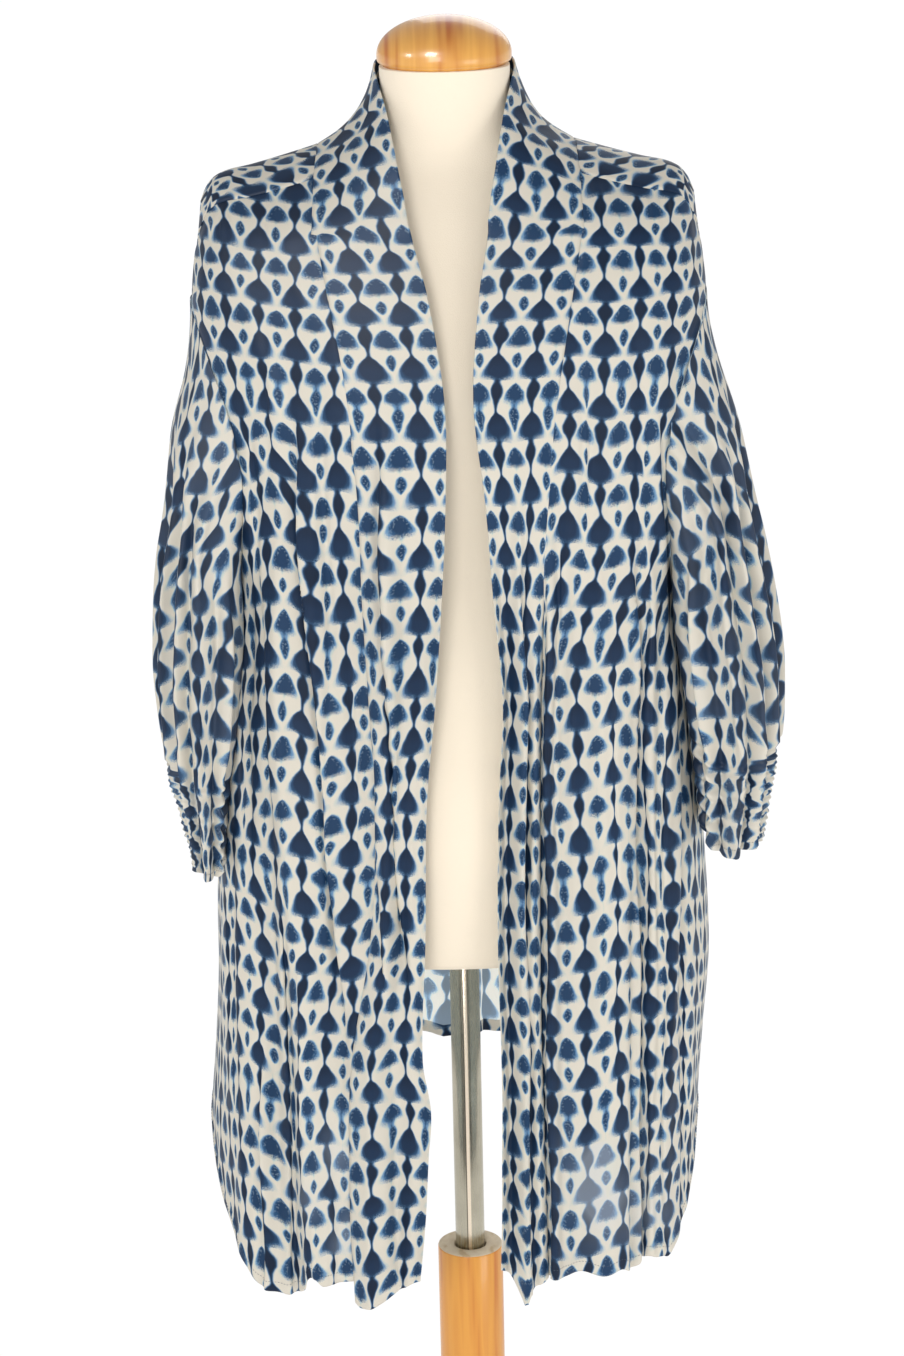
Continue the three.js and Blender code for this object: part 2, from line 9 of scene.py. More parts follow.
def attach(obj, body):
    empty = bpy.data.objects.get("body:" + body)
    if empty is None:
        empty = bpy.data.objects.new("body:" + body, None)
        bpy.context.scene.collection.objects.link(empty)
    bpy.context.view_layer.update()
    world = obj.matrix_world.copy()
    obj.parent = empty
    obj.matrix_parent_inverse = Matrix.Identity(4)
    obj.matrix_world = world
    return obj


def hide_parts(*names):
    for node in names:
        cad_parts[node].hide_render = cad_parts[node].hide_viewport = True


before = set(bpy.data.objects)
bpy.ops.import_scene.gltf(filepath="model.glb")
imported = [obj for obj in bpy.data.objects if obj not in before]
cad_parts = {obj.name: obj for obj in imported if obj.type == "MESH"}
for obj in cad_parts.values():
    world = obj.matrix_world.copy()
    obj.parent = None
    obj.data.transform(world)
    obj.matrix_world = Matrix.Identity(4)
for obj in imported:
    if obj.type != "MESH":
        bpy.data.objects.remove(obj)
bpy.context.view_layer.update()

# ----------------------------------------------
# Camera: a long lens 2.8 m in front of the form, a little above its neck, tipped down and
# leaning slightly, so that the upright parts stand almost straight in the frame.
# ----------------------------------------------
NECK_HEIGHT = 1.470
CAMERA_DISTANCE, CAMERA_ASIDE, CAMERA_ABOVE_NECK = 2.826, -0.005, 0.327
TIP_DOWN, LEAN = math.radians(16.7), math.radians(-1.3)


def add_object(name, data):
    """Put a mesh, a lamp or a camera into the scene."""
    thing = bpy.data.objects.new(name, data)
    bpy.context.scene.collection.objects.link(thing)
    return thing


camera_data = bpy.data.cameras.new("camera")
camera_data.lens = 91.6
camera_data.sensor_width = 36.0
camera_data.clip_end = 50.0
camera = add_object("camera", camera_data)
aim = Matrix.Rotation(math.pi / 2 - TIP_DOWN, 3, "X") @ Matrix.Rotation(LEAN, 3, "Z")
camera.location = (CAMERA_ASIDE, -CAMERA_DISTANCE, NECK_HEIGHT + CAMERA_ABOVE_NECK)
camera.rotation_euler = aim.to_euler()
bpy.context.scene.camera = camera

# ----------------------------------------------
# Fronts: two panels of thin satin-faced viscose, cut with drop shoulders and a rounded lower side
# corner. They hang from the form's shoulders, so the cloth's body shape is worked out here, in
# millimetres, and the back, the band and the sleeves are laid along the same surface.
# ----------------------------------------------
MM = 0.001
LEFT, RIGHT = -1, 1
SIDES = {LEFT: "left", RIGHT: "right"}
SHOULDER_ROUND = 60.0                    # radius of the cloth over the shoulder, seen from the side
QUARTER = SHOULDER_ROUND * math.pi / 2   # fall at which the cloth hangs straight down
SHOULDER_LEAN = 0.28
SHOULDER_TOP = 1440.0
RIDGE_Y = 5.0
SEAM_FORWARD = 50.0                      # the shoulder seam's fall in front of the ridge
SECTION_POWER = 0.75                     # under 1 makes the body's section squarer than an ellipse
ARMHOLE_LOW, ARMHOLE_HIGH = 1035.0, 1285.0
ARMHOLE_CUT = {"front": 31.0, "back": 24.0}
BACK_HEM, FRONT_HEM = 560.0, 436.0
CORNER_FROM, CORNER_POWER = 0.36, 1.5    # the side corner rounds up from this share of the width
COLLAR_START, COLLAR_END = 1346.0, 107.0   # height; half width of the neck at the shoulder seam
BAND_LAP = 5.0                           # the front reaches this far under the band
CLOTH_THICK = 0.5
HEM_DEPTH, HEM_ROUND = 11.0, 2.5
GROOVE_ABOVE, GROOVE_HALF, GROOVE_DEPTH = 1.8, 1.3, 0.7
STITCH_INSET = 1.2                       # the hem's stitches lie this far below its turned edge
CREASE_WANDER, CREASE_LEAN = 1.6, 0.85
TROUGH_BESIDE, TROUGH_HALF, TROUGH_DEPTH = 5.5, 3.0, 0.5


def smooth_line(at, values):
    """A smooth curve through values at rising places."""
    at, values = np.array(at, float), np.array(values, float)
    count = len(at)
    before = np.maximum(np.arange(count) - 1, 0)
    after = np.minimum(np.arange(count) + 1, count - 1)
    slope = (values[after] - values[before]) / (at[after] - at[before])

    def read(place):
        place = np.clip(place, at[0], at[-1])
        i = np.clip(np.searchsorted(at, place, side="right") - 1, 0, count - 2)
        step = at[i + 1] - at[i]
        t = (place - at[i]) / step
        keep = (1 + 2 * t) * (1 - t) ** 2 * values[i] + t * t * (3 - 2 * t) * values[i + 1]
        return keep + step * t * (1 - t) * ((1 - t) * slope[i] - t * slope[i + 1])

    return read


def columns(names, rows):
    """A table with named columns, each read as a smooth curve over the first one."""
    names, rows = names.split(), np.array(rows, float)
    return {name: smooth_line(rows[:, 0], rows[:, i]) for i, name in enumerate(names)}


def mix(a, b, share):
    """The value that lies at this share of the way from a to b."""
    return a + (b - a) * share


def ease(value):
    """A step from 0 to 1 with soft ends."""
    value = np.clip(value, 0.0, 1.0)
    return value * value * (3 - 2 * value)


def bell(value):
    """1 at 0, falling away softly to both sides."""
    return np.exp(-(value ** 2))


def unit(vectors):
    return vectors / np.linalg.norm(vectors, axis=-1, keepdims=True)


# height of the shoulder ridge by distance from the middle
ridge = columns("x z", [
    (0, 1427), (60, 1425), (80, 1418), (98, 1409), (130, 1399), (160, 1391), (185, 1385),
    (197, 1375), (206, 1354),
])["z"]

# half widths at the side seams, and depths of the front and the back, by height
body = columns("z left right front back", [
    (400, 222, 197, 130, 150), (550, 226, 203, 128, 151), (634, 219, 209, 127, 150),
    (700, 214, 214, 126, 148), (770, 212, 212, 125, 145), (850, 205, 206, 124, 141),
    (930, 191, 196, 122, 134), (1035, 182, 184, 121, 121), (1110, 195, 196, 124, 113),
    (1200, 207, 207, 127, 110), (1285, 212, 212, 117, 108), (1350, 204, 204, 92, 100),
    (1400, 200, 201, 70, 84), (1440, 200, 201, 60, 74),
])

# the bands' free edges and their seams with the fronts, from the middle, by height
opening = columns("z left_edge left_seam right_edge right_seam", [
    (424, 47, 101, 25, 67), (500, 39, 103, 28, 66), (560, 35, 102, 29, 65), (602, 32, 101, 30, 65),
    (650, 38, 97, 30, 64), (760, 33, 78, 29, 64), (876, 29, 71, 32, 66), (963, 20, 74, 37, 68),
    (1049, 13, 77, 31, 72), (1132, 8, 78, 26, 79), (1215, 7, 85, 18, 85), (1296, 18, 97, 24, 98),
    (1355, 32, 106, 34, 108), (1440, 36, 107, 38, 109),
])


def half_width(side, z):
    return body[SIDES[side]](z)


def on_body(side, face, angle, fall):
    """Points on the body and the way out of it, by the angle round it from the middle and the fall
    down the cloth from the shoulder ridge; a negative fall is on the other face."""
    angle, fall = np.broadcast_arrays(np.asarray(angle, float), np.asarray(fall, float))
    facing = np.where(fall < 0, -1.0, 1.0) * (-1.0 if face == "front" else 1.0)
    down = np.abs(fall)
    turn = np.minimum(down / SHOULDER_ROUND, math.pi / 2)
    below = SHOULDER_ROUND * (1 - np.cos(turn)) + np.maximum(0, down - QUARTER)
    z = ridge(half_width(side, SHOULDER_TOP) * np.sin(angle)) - below
    for _ in range(4):
        x = half_width(side, z) * np.sin(angle)
        z = ridge(x) - below
    deep = np.where(facing < 0, body["front"](z), body["back"](z))
    section = np.maximum(0, np.cos(angle)) ** SECTION_POWER
    y = RIDGE_Y * np.cos(turn) + facing * deep * section * np.sin(turn)
    leaning = SHOULDER_LEAN * ease(x / 60 - 0.5) * np.cos(turn)
    out = np.stack([
        side * (np.sin(angle) * np.sin(turn) + leaning),
        facing * np.cos(angle) * (half_width(side, z) / deep) * np.sin(turn),
        np.cos(turn),
    ], -1)
    return np.stack([side * x, y, z], -1), unit(out)


def fall_to(side, angle, z):
    """The fall from the shoulder ridge down to a height, straight below the shoulder's round."""
    return ridge(half_width(side, z) * np.sin(angle)) - SHOULDER_ROUND - z + QUARTER


def armhole_cut(face, z):
    """Angle by which the armhole cuts into the front or the back."""
    share = np.clip((z - ARMHOLE_LOW) / (ARMHOLE_HIGH - ARMHOLE_LOW), 0, 1)
    return math.radians(ARMHOLE_CUT[face]) * np.maximum(0, np.sin(math.pi * share)) ** 0.6


LEVEL_STEP = 2
# cloth that the front's slope takes up, from the lowest level to each height
profile_z = np.linspace(400, 1440, 521)
profile_slope = np.gradient(body["front"](profile_z), profile_z)
profile_extra = np.concatenate([[0], np.cumsum(np.hypot(1, profile_slope[1:]) * LEVEL_STEP - LEVEL_STEP)])

# rows of the print lie closer over the shoulders, and wider at the chest where the cloth is drawn down
row_density = smooth_line([400, 1000, 1060, 1170, 1230, 1300, 1800], [1, 1, 0.95, 0.96, 1.06, 1.2, 1.2])
row_level = np.linspace(400, 1800, 701)
row_shift = np.concatenate([[0], np.cumsum((row_density(row_level[1:]) - 1) * LEVEL_STEP)])


def print_height(at, fall):
    """How far up the cloth a point lies, so that the print runs level over the shoulder's round."""
    over = np.clip(QUARTER - fall, 0, None)
    rounded = at[..., 2] - SHOULDER_ROUND * np.cos(fall / SHOULDER_ROUND) + over
    return np.where(over > 0, rounded, at[..., 2]) + np.interp(at[..., 2], profile_z, profile_extra)


def print_row(level):
    """The print's place for a height up the cloth."""
    return level + np.interp(level, row_level, row_shift)


def along(points, axis):
    """Distance run along a grid's rows or columns."""
    step = np.linalg.norm(np.diff(points, axis=axis), axis=-1)
    start = np.zeros_like(np.take(step, [0], axis=axis))
    return np.concatenate([start, np.cumsum(step, axis=axis)], axis=axis)


def folds(rows, x, z):
    """Soft upright folds: crest at the hem and at the top, half width, height, and where they run."""
    total = np.zeros(np.broadcast(x, z).shape)
    for hem_x, top_x, width, height, low, high in rows:
        share = np.clip((z - low) / (high - low), 0, 1)
        fade = ease((high - z) / 160) * ease((z - low) / 60 + 1) * mix(1, 0.55, share)
        total += height * fade * bell((x - mix(hem_x, top_x, share)) / width)
    return total


def creases(rows, x, z):
    """Sharper folds that lean over a trough on their steep side: lift, lean and the cloth they hide.
    Rows: crest at the low and at the high end, half widths on its inner and outer side, height, and
    reach in height."""
    lift, lean, hidden = np.zeros((3, *np.broadcast(x, z).shape))
    for low_x, high_x, inner, outer, height, low, high in rows:
        share = (z - low) / (high - low)
        crest = mix(low_x, high_x, share) + CREASE_WANDER * np.sin(z / 41 + low_x)
        fade = ease((high - z) / 140) * ease((z - low) / 130 + (1.0 if low < 450 else 0.0))
        steep = 1.0 if outer < inner else -1.0
        bump = fade * bell((x - crest) / np.where(x < crest, inner, outer))
        trough = fade * bell((x - crest - steep * TROUGH_BESIDE) / TROUGH_HALF)
        lift += height * (bump - TROUGH_DEPTH * trough)
        lean += steep * CREASE_LEAN * height * bump
        hidden += 2.0 * height * fade * (0.5 + 0.5 * np.tanh((x - crest - steep * 1.4) / 1.1))
    return lift, lean, hidden


def lean_over(at, lean):
    """Push a grid's points outwards along their rows, so that folds lie over their troughs."""
    return at + unit(np.gradient(at, axis=1)) * lean[..., None]


def ripples(rows, x, z):
    """Small creases at any slant: place, length and half width across, slant and height."""
    total = np.zeros(np.broadcast(x, z).shape)
    for centre_x, centre_z, length, width, slant, height in rows:
        c, s = math.cos(math.radians(slant)), math.sin(math.radians(slant))
        run = (z - centre_z) * c + (x - centre_x) * s
        across = (x - centre_x) * c - (z - centre_z) * s
        total += height * np.exp(-((run / length) ** 2) - (across / width) ** 2)
    return total


def sway(x, z, seed):
    """Slow uneven waves that keep hung cloth from lying quite flat."""
    rng = np.random.default_rng(seed)
    total = np.zeros(np.broadcast(x, z).shape)
    for _ in range(9):
        across, up = rng.uniform(0.02, 0.09), rng.uniform(-0.014, 0.014)
        total += rng.uniform(0.2, 0.55) * np.sin(across * x + up * z + rng.uniform(0, 2 * math.pi))
    return total


def slack(side, x, z):
    """How far the print is shifted up or down where folds drag the cloth out of line."""
    drag = 6.5 * np.sin(x / 24 + z / 190 + side) + 3.5 * np.sin(x / 9.5 - z / 260)
    return drag * ease((1330 - z) / 200) + 9.0 * ease((x - 130) / 60) * np.sin(z / 110 + side)


def spread(count, finest, over):
    """Shares from 0 to 1, closer together near 0 where the hem is turned."""
    t = np.linspace(0, 1, count)
    return t * mix(finest, 1.0, np.clip(t / over, 0, 1))


def turned_hem(up, depth=HEM_DEPTH, rise=1.0):
    """The doubled hem stands proud up to its stitched edge, and its fold is rounded."""
    edge = np.clip(up / HEM_ROUND, 0, 1)
    groove = GROOVE_DEPTH * bell((up - depth - GROOVE_ABOVE) / GROOVE_HALF)
    rounding = 0.8 * (1 - np.sqrt(np.clip(1 - (1 - edge) ** 2, 0, 1)))
    return rise * (1 - ease((up - depth) / 1.2) - groove) - rounding


def cloth_mesh(name, at, uv, closed=False, thin=None, hem=None):
    """A grid of points in millimetres as a mesh in metres, with the print's place in metres. Where
    the cloth is turned up as a hem, its inner face shows the right side again (material 2)."""
    rows, wide = at.shape[:2]
    around = wide if closed else wide - 1
    r, c = np.meshgrid(np.arange(rows - 1), np.arange(around), indexing="ij")

    def corners(row_length, right):
        low, high = r * row_length, (r + 1) * row_length
        return np.stack([low + c, low + right, high + right, high + c], -1)

    mesh = bpy.data.meshes.new(name)
    quads = corners(wide, (c + 1) % wide)
    mesh.from_pydata((at.reshape(-1, 3) * MM).tolist(), [], quads.reshape(-1, 4).tolist())
    place = corners(uv.shape[1], np.minimum(c + 1, uv.shape[1] - 1))
    layer = mesh.uv_layers.new(name="print")
    layer.data.foreach_set("uv", (uv.reshape(-1, 2)[place.reshape(-1)] * MM).ravel())
    if thin is not None:
        attribute = mesh.attributes.new("thin", "FLOAT", "POINT")
        attribute.data.foreach_set("value", thin.astype(float).ravel())
    if hem is not None:
        mesh.polygons.foreach_set("material_index", (2 * hem[:-1, :around]).astype(np.int32).ravel())
    mesh.shade_smooth()
    mesh.validate()
    return mesh


def face_out(mesh, outward, face=None):
    """Turn the mesh over if the given face, or else its middle one, looks the wrong way."""
    face = len(mesh.polygons) // 2 if face is None else face
    if Vector(mesh.polygons[face].normal).dot(Vector(outward)) < 0:
        mesh.flip_normals()


# ---- the printed cloth: an ikat of drops and diamonds strung in columns, dyed so that edges bleed ----
PRINT_COLUMN, PRINT_ROW = 32.0 * MM, 51.8 * MM
YARN = 0.22 * MM
FIGURE_HALF = 12.0                       # millimetres from a column's middle to where its rows sag
FIGURE_LEAST, FIGURE_MOST = -2.0, 14.0   # below 0 the ground shows between two figures


def srgb(red, green, blue):
    """A colour in everyday 0 to 255 values as the shader's linear ones."""
    return tuple((value / 255) ** 2.2 for value in (red, green, blue)) + (1.0,)


class Shader:
    """Small helper that joins nodes of one material."""

    def __init__(self, name):
        self.material = bpy.data.materials.new(name)
        self.material.use_nodes = True
        self.tree = self.material.node_tree
        self.base = self.tree.nodes["Principled BSDF"]

    def feed(self, socket, value):
        """Link a node's output to an input, or set the input to a plain value."""
        if isinstance(value, bpy.types.NodeSocket):
            self.tree.links.new(value, socket)
        else:
            socket.default_value = value

    def set(self, node, **inputs):
        for key, value in inputs.items():
            self.feed(node.inputs[key.replace("_", " ")], value)
        return node

    def node(self, kind, **inputs):
        return self.set(self.tree.nodes.new(kind), **inputs)

    def surface(self, **inputs):
        """Set the finished surface's own inputs."""
        self.set(self.base, **inputs)
        return self.material

    def math(self, operation, *values):
        node = self.node("ShaderNodeMath")
        node.operation = operation
        for socket, value in zip(node.inputs, values):
            self.feed(socket, value)
        return node.outputs[0]

    def product(self, *values):
        """All the values multiplied, from the first on."""
        total = values[0]
        for value in values[1:]:
            total = self.math("MULTIPLY", total, value)
        return total

    def ramp(self, value, stops):
        """Colours, or shares of grey, by place from 0 to 1, with soft steps between."""
        node = self.node("ShaderNodeValToRGB")
        node.color_ramp.interpolation = "EASE"
        for place, _ in stops[len(node.color_ramp.elements):]:
            node.color_ramp.elements.new(place)
        for element, (place, colour) in zip(node.color_ramp.elements, stops):
            element.position = place
            element.color = colour if isinstance(colour, tuple) else (colour, colour, colour, 1)
        self.feed(node.inputs[0], value)
        return node.outputs[0]

    def curve(self, value, points, low, high):
        """A drawn curve over 0 to 1 whose heights run from low to high."""
        node = self.node("ShaderNodeFloatCurve", Value=value)
        line = node.mapping.curves[0]
        for place, _ in points[2:]:
            line.points.new(place, 0.0)
        for point, (place, height) in zip(line.points, points):
            point.location = (place, (height - low) / (high - low))
        node.mapping.update()
        return self.math("MULTIPLY_ADD", node.outputs[0], high - low, low)

    def blend(self, share, a, b, how="MIX"):
        node = self.node("ShaderNodeMix")
        node.data_type = "RGBA"
        node.blend_type = how
        for place, value in ((0, share), (6, a), (7, b)):
            self.feed(node.inputs[place], value)
        return node.outputs[2]

    def stretched(self, vector, scale):
        return self.node("ShaderNodeMapping", Vector=vector, Scale=scale).outputs[0]

    def noise(self, vector, scale, detail=2.0, rough=0.5):
        return self.node("ShaderNodeTexNoise", Vector=vector, Scale=scale, Detail=detail,
                         Roughness=rough).outputs["Fac"]

    def dice(self, vector):
        """A chance from 0 to 1 for each place of a vector's first two parts."""
        node = self.node("ShaderNodeTexWhiteNoise")
        node.noise_dimensions = "2D"
        self.feed(node.inputs["Vector"], vector)
        return node.outputs["Value"]

    def bump(self, height, distance, strength):
        node = self.node("ShaderNodeBump", Distance=distance, Strength=strength, Height=height)
        self.surface(Normal=node.outputs[0])


# half widths of the figures in millimetres down one row, from a spade's foot to the next one's
STRUNG_FIGURES = [
    (0.0, 2.6), (0.03, 1.9), (0.07, 2.6), (0.13, 4.2), (0.19, 5.0), (0.26, 4.5), (0.36, 2.4),
    (0.45, 1.0), (0.52, 0.7), (0.56, 1.5), (0.61, 3.8), (0.68, 6.5), (0.75, 8.7), (0.81, 10.0),
    (0.87, 10.5), (0.92, 9.9), (0.955, 7.6), (0.982, 4.6), (1.0, 2.6),
]
DROP_FIGURES = [
    (0.0, -2.0), (0.05, -1.6), (0.085, 1.0), (0.14, 3.9), (0.21, 6.2), (0.28, 7.6), (0.34, 8.0),
    (0.385, 7.0), (0.417, 4.4), (0.445, -1.4), (0.50, -1.8), (0.54, 0.6), (0.60, 2.6), (0.66, 3.2),
    (0.72, 2.4), (0.79, 0.4), (0.83, -1.6), (1.0, -2.0),
]
LINKED_FIGURES = [
    (0.0, -2.0), (0.04, -1.4), (0.08, 1.2), (0.15, 4.8), (0.24, 7.2), (0.31, 7.3), (0.37, 4.8),
    (0.42, 1.4), (0.46, 1.0), (0.53, 2.8), (0.61, 3.7), (0.72, 2.6), (0.84, 0.6), (0.89, -1.6),
    (1.0, -2.0),
]
# how much the dye bleeds down the same row: crisp at stems, widest at the foot of a spade or drop
STRUNG_BLEED = [
    (0.0, 0.25), (0.1, 0.12), (0.35, 0.1), (0.58, 0.05), (0.75, 0.25), (0.88, 0.75), (0.96, 1.0),
    (1.0, 0.6),
]
DROP_BLEED = [
    (0.0, 0.3), (0.12, 0.15), (0.28, 0.4), (0.38, 0.9), (0.46, 0.7), (0.54, 0.15), (0.66, 0.1),
    (0.82, 0.15), (1.0, 0.3),
]
# PALED is the slate that single figures are painted towards where backlight through the thin cloth is
# painted in
CREAM, PALED, FADED_AND_BACKLIT_INSIDE = srgb(217, 210, 195), srgb(194, 206, 220), srgb(212, 232, 244)


def printed_cloth(name, wrong_side=False):
    """Right or wrong side of the printed viscose, drawn from the cloth's own UV in metres."""
    s = Shader(name)
    uv = s.node("ShaderNodeUVMap")
    uv.uv_map = "print"
    place = uv.outputs[0]
    parts = s.node("ShaderNodeSeparateXYZ", Vector=place)
    wobble = s.math("SUBTRACT", s.noise(place, 48.0), 0.5)
    drift = s.math("SUBTRACT", s.noise(place, 31.0, 1.0), 0.5)
    across = s.math("ADD", s.math("DIVIDE", parts.outputs[0], PRINT_COLUMN), s.product(wobble, 0.17))
    down = s.math("ADD", s.math("DIVIDE", parts.outputs[1], -PRINT_ROW), s.product(drift, 0.22))

    # dye strays along each thread, so every yarn crossing takes it a little higher or lower
    yarn = s.node("ShaderNodeVectorMath", Vector=place)
    yarn.operation = "SNAP"
    yarn.inputs[1].default_value = (YARN, YARN, 1.0)
    stray = s.math("SUBTRACT", s.dice(yarn.outputs[0]), 0.5)

    # the figures are drawn fuller towards the shoulders
    fuller = s.node("ShaderNodeMapRange", Value=parts.outputs[1], From_Min=0.85, From_Max=1.2,
                    To_Min=0.80, To_Max=0.97).outputs[0]

    def figures(offset, profiles, bleed_line, crisp, soft, bend):
        """One column of figures: its ink, from 0 on bare ground to 1 well inside; how far inside the
        figure's edge a place lies, how far down its row, and the figure's own chance."""
        shifted = s.math("ADD", across, offset)
        off = s.math("ABSOLUTE", s.math("SUBTRACT", s.math("FRACT", shifted), 0.5))
        off = s.product(off, PRINT_COLUMN / MM)
        sag = s.product(s.math("POWER", s.math("DIVIDE", off, FIGURE_HALF), 2.0), bend)
        row = s.math("SUBTRACT", down, sag)
        turn = s.math("FLOOR", row)
        figure = s.node("ShaderNodeCombineXYZ", X=s.math("FLOOR", shifted), Y=turn)
        chance = s.dice(figure.outputs[0])
        in_row = s.math("FRACT", row)
        bleed = s.curve(in_row, bleed_line, 0.0, 1.0)
        bleed = s.product(bleed, s.math("MULTIPLY_ADD", s.noise(place, 75.0), 1.2, 0.4))
        strayed = s.math("FRACT", s.math("MULTIPLY_ADD", s.product(stray, bleed), 0.10, row))
        reach = s.curve(strayed, profiles[0], FIGURE_LEAST, FIGURE_MOST)
        if len(profiles) > 1:
            quarter = s.math("DIVIDE", s.math("ADD", turn, 0.5), 4.0)
            fourth = s.math("LESS_THAN", s.math("FRACT", quarter), 0.25)
            other = s.curve(strayed, profiles[1], FIGURE_LEAST, FIGURE_MOST)
            reach = s.math("ADD", reach, s.product(fourth, s.math("SUBTRACT", other, reach)))
        reach = s.product(reach, s.math("MULTIPLY_ADD", chance, 0.22, fuller))
        inside = s.math("SUBTRACT", reach, off)
        depth = s.math("DIVIDE", inside, s.math("MULTIPLY_ADD", bleed, soft, crisp))
        ink = s.node("ShaderNodeClamp", Value=s.math("MULTIPLY_ADD", depth, 0.5, 0.5))
        return ink.outputs[0], inside, in_row, chance

    strung, _, in_row, strung_chance = figures(0.5, [STRUNG_FIGURES], STRUNG_BLEED, 1.1, 5.0, 0.022)
    drops, inside, _, drop_chance = figures(
        0.0, [DROP_FIGURES, LINKED_FIGURES], DROP_BLEED, 1.2, 4.0, 0.018)
    strung_colour = s.ramp(strung, [
        (0.0, CREAM), (0.2, srgb(198, 204, 206)), (0.42, srgb(104, 140, 174)),
        (0.62, srgb(40, 72, 105)), (1.0, srgb(26, 50, 77)),
    ])
    # the dye is darkest at the stems and the diamonds between two spades
    darker = s.ramp(in_row, [
        (0.0, srgb(176, 184, 190)), (0.3, srgb(170, 178, 186)), (0.5, srgb(166, 174, 182)),
        (0.62, srgb(190, 196, 204)), (0.85, srgb(236, 240, 246)), (0.97, srgb(250, 250, 250)),
    ])
    strung_colour = s.blend(strung, strung_colour, s.blend(1.0, strung_colour, darker, "MULTIPLY"))
    drop_colour = s.ramp(drops, [
        (0.0, CREAM), (0.2, srgb(198, 206, 210)), (0.42, srgb(104, 144, 180)),
        (0.68, srgb(42, 80, 118)), (1.0, srgb(29, 59, 91)),
    ])
    # specks of ground show through the edges of the drops
    speck = s.math("GREATER_THAN", s.noise(place, 520.0, 1.0), 0.56)
    speck = s.product(s.math("LESS_THAN", inside, 3.4), speck, drops, 0.22)
    drop_colour = s.blend(speck, drop_colour, srgb(170, 196, 214))

    # painted light: where the 'thin' attribute is set, single figures are painted a paler slate that stands
    # in for light coming through the thin cloth from behind; on the sleeves the same paling is laid on a
    # little all over
    thin = s.node("ShaderNodeAttribute")
    thin.attribute_name = "thin"

    def paled(colour, chance):
        share = s.product(thin.outputs["Fac"], s.math("MULTIPLY_ADD", chance, 1.5, 0.05))
        return s.blend(share, colour, s.blend(0.30, colour, PALED))

    colour = s.blend(1.0, paled(strung_colour, strung_chance), paled(drop_colour, drop_chance), "DARKEN")
    uneven = s.blend(1.0, colour, srgb(226, 222, 222), "MULTIPLY")
    colour = s.blend(s.product(s.noise(place, 26.0, 3.0), 0.20), colour, uneven)
    # the wrong side is blended towards a paler inside tone, partly its own faded print and partly painted
    # backlight, and given a painted glow (emission) that stands in for light coming through the thin cloth
    # from behind
    if wrong_side:
        colour = s.blend(0.22, colour, FADED_AND_BACKLIT_INSIDE)
        s.surface(Emission_Color=colour, Emission_Strength=0.6)
    slub = s.noise(s.stretched(place, (1.0, 0.22, 1.0)), 900.0, 2.0, 0.6)
    s.bump(slub, 0.00035, 0.35)
    return s.surface(Base_Color=colour, Roughness=0.62 if wrong_side else 0.5, Specular_IOR_Level=0.2,
                     Sheen_Weight=0.02)


cloth_right = printed_cloth("printed_viscose")
cloth_wrong_side_painted_glow = printed_cloth("printed_viscose_wrong_side_painted_glow", wrong_side=True)


def cloth_piece(name, mesh, thick=CLOTH_THICK):
    """A printed panel: the outer surface, given its thickness inwards, paler on the wrong side, which also
    carries a painted glow.
    """
    for material in (cloth_right, cloth_wrong_side_painted_glow, cloth_right, cloth_right):
        mesh.materials.append(material)
    piece = add_object(name, mesh)
    solid = piece.modifiers.new("thickness", "SOLIDIFY")
    solid.thickness = thick * MM
    solid.offset = -1.0
    solid.material_offset = 1
    solid.material_offset_rim = 0
    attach(piece, "root")
    return piece


STITCH_LENGTH, STITCH_PITCH, STITCH_THICK, STITCH_PROUD = 2.2, 2.8, 0.42, 0.12


def sewing_thread():
    """Slate blue polyester thread, lightly twisted."""
    s = Shader("sewing_thread")
    coord = s.node("ShaderNodeTexCoord").outputs["Object"]
    return s.surface(Base_Color=s.blend(s.noise(coord, 3000.0), srgb(74, 84, 104), srgb(56, 66, 86)),
                     Roughness=0.6)


thread = sewing_thread()


def stitch_tree():
    """Nodes that lay one stitch after another along a path."""
    tree = bpy.data.node_groups.new("stitches", "GeometryNodeTree")
    tree.interface.new_socket("Path", in_out="INPUT", socket_type="NodeSocketGeometry")
    tree.interface.new_socket("Spacing", in_out="INPUT", socket_type="NodeSocketFloat")
    tree.interface.new_socket("Size", in_out="INPUT", socket_type="NodeSocketVector")
    tree.interface.new_socket("Stitches", in_out="OUTPUT", socket_type="NodeSocketGeometry")
    made = {name: tree.nodes.new(kind) for name, kind in {
        "input": "NodeGroupInput", "curve": "GeometryNodeMeshToCurve", "even": "GeometryNodeResampleCurve",
        "ball": "GeometryNodeMeshIcoSphere", "way": "GeometryNodeInputTangent",
        "turn": "FunctionNodeAlignEulerToVector", "lay": "GeometryNodeInstanceOnPoints",
        "real": "GeometryNodeRealizeInstances", "paint": "GeometryNodeSetMaterial",
        "output": "NodeGroupOutput"}.items()}
    made["even"].mode = "LENGTH"
    made["ball"].inputs["Radius"].default_value = 0.5
    made["ball"].inputs["Subdivisions"].default_value = 1
    made["turn"].axis = "X"
    made["paint"].inputs["Material"].default_value = thread
    for start, end in (
            (("input", "Path"), ("curve", "Mesh")), (("curve", "Curve"), ("even", "Curve")),
            (("input", "Spacing"), ("even", "Length")), (("even", "Curve"), ("lay", "Points")),
            (("ball", "Mesh"), ("lay", "Instance")), (("way", "Tangent"), ("turn", "Vector")),
            (("turn", "Rotation"), ("lay", "Rotation")), (("input", "Size"), ("lay", "Scale")),
            (("lay", "Instances"), ("real", "Geometry")), (("real", "Geometry"), ("paint", "Geometry")),
            (("paint", "Geometry"), ("output", "Stitches"))):
        tree.links.new(made[start[0]].outputs[start[1]], made[end[0]].inputs[end[1]])
    return tree


stitches = stitch_tree()
socket = {item.name: item.identifier for item in stitches.interface.items_tree if item.in_out == "INPUT"}


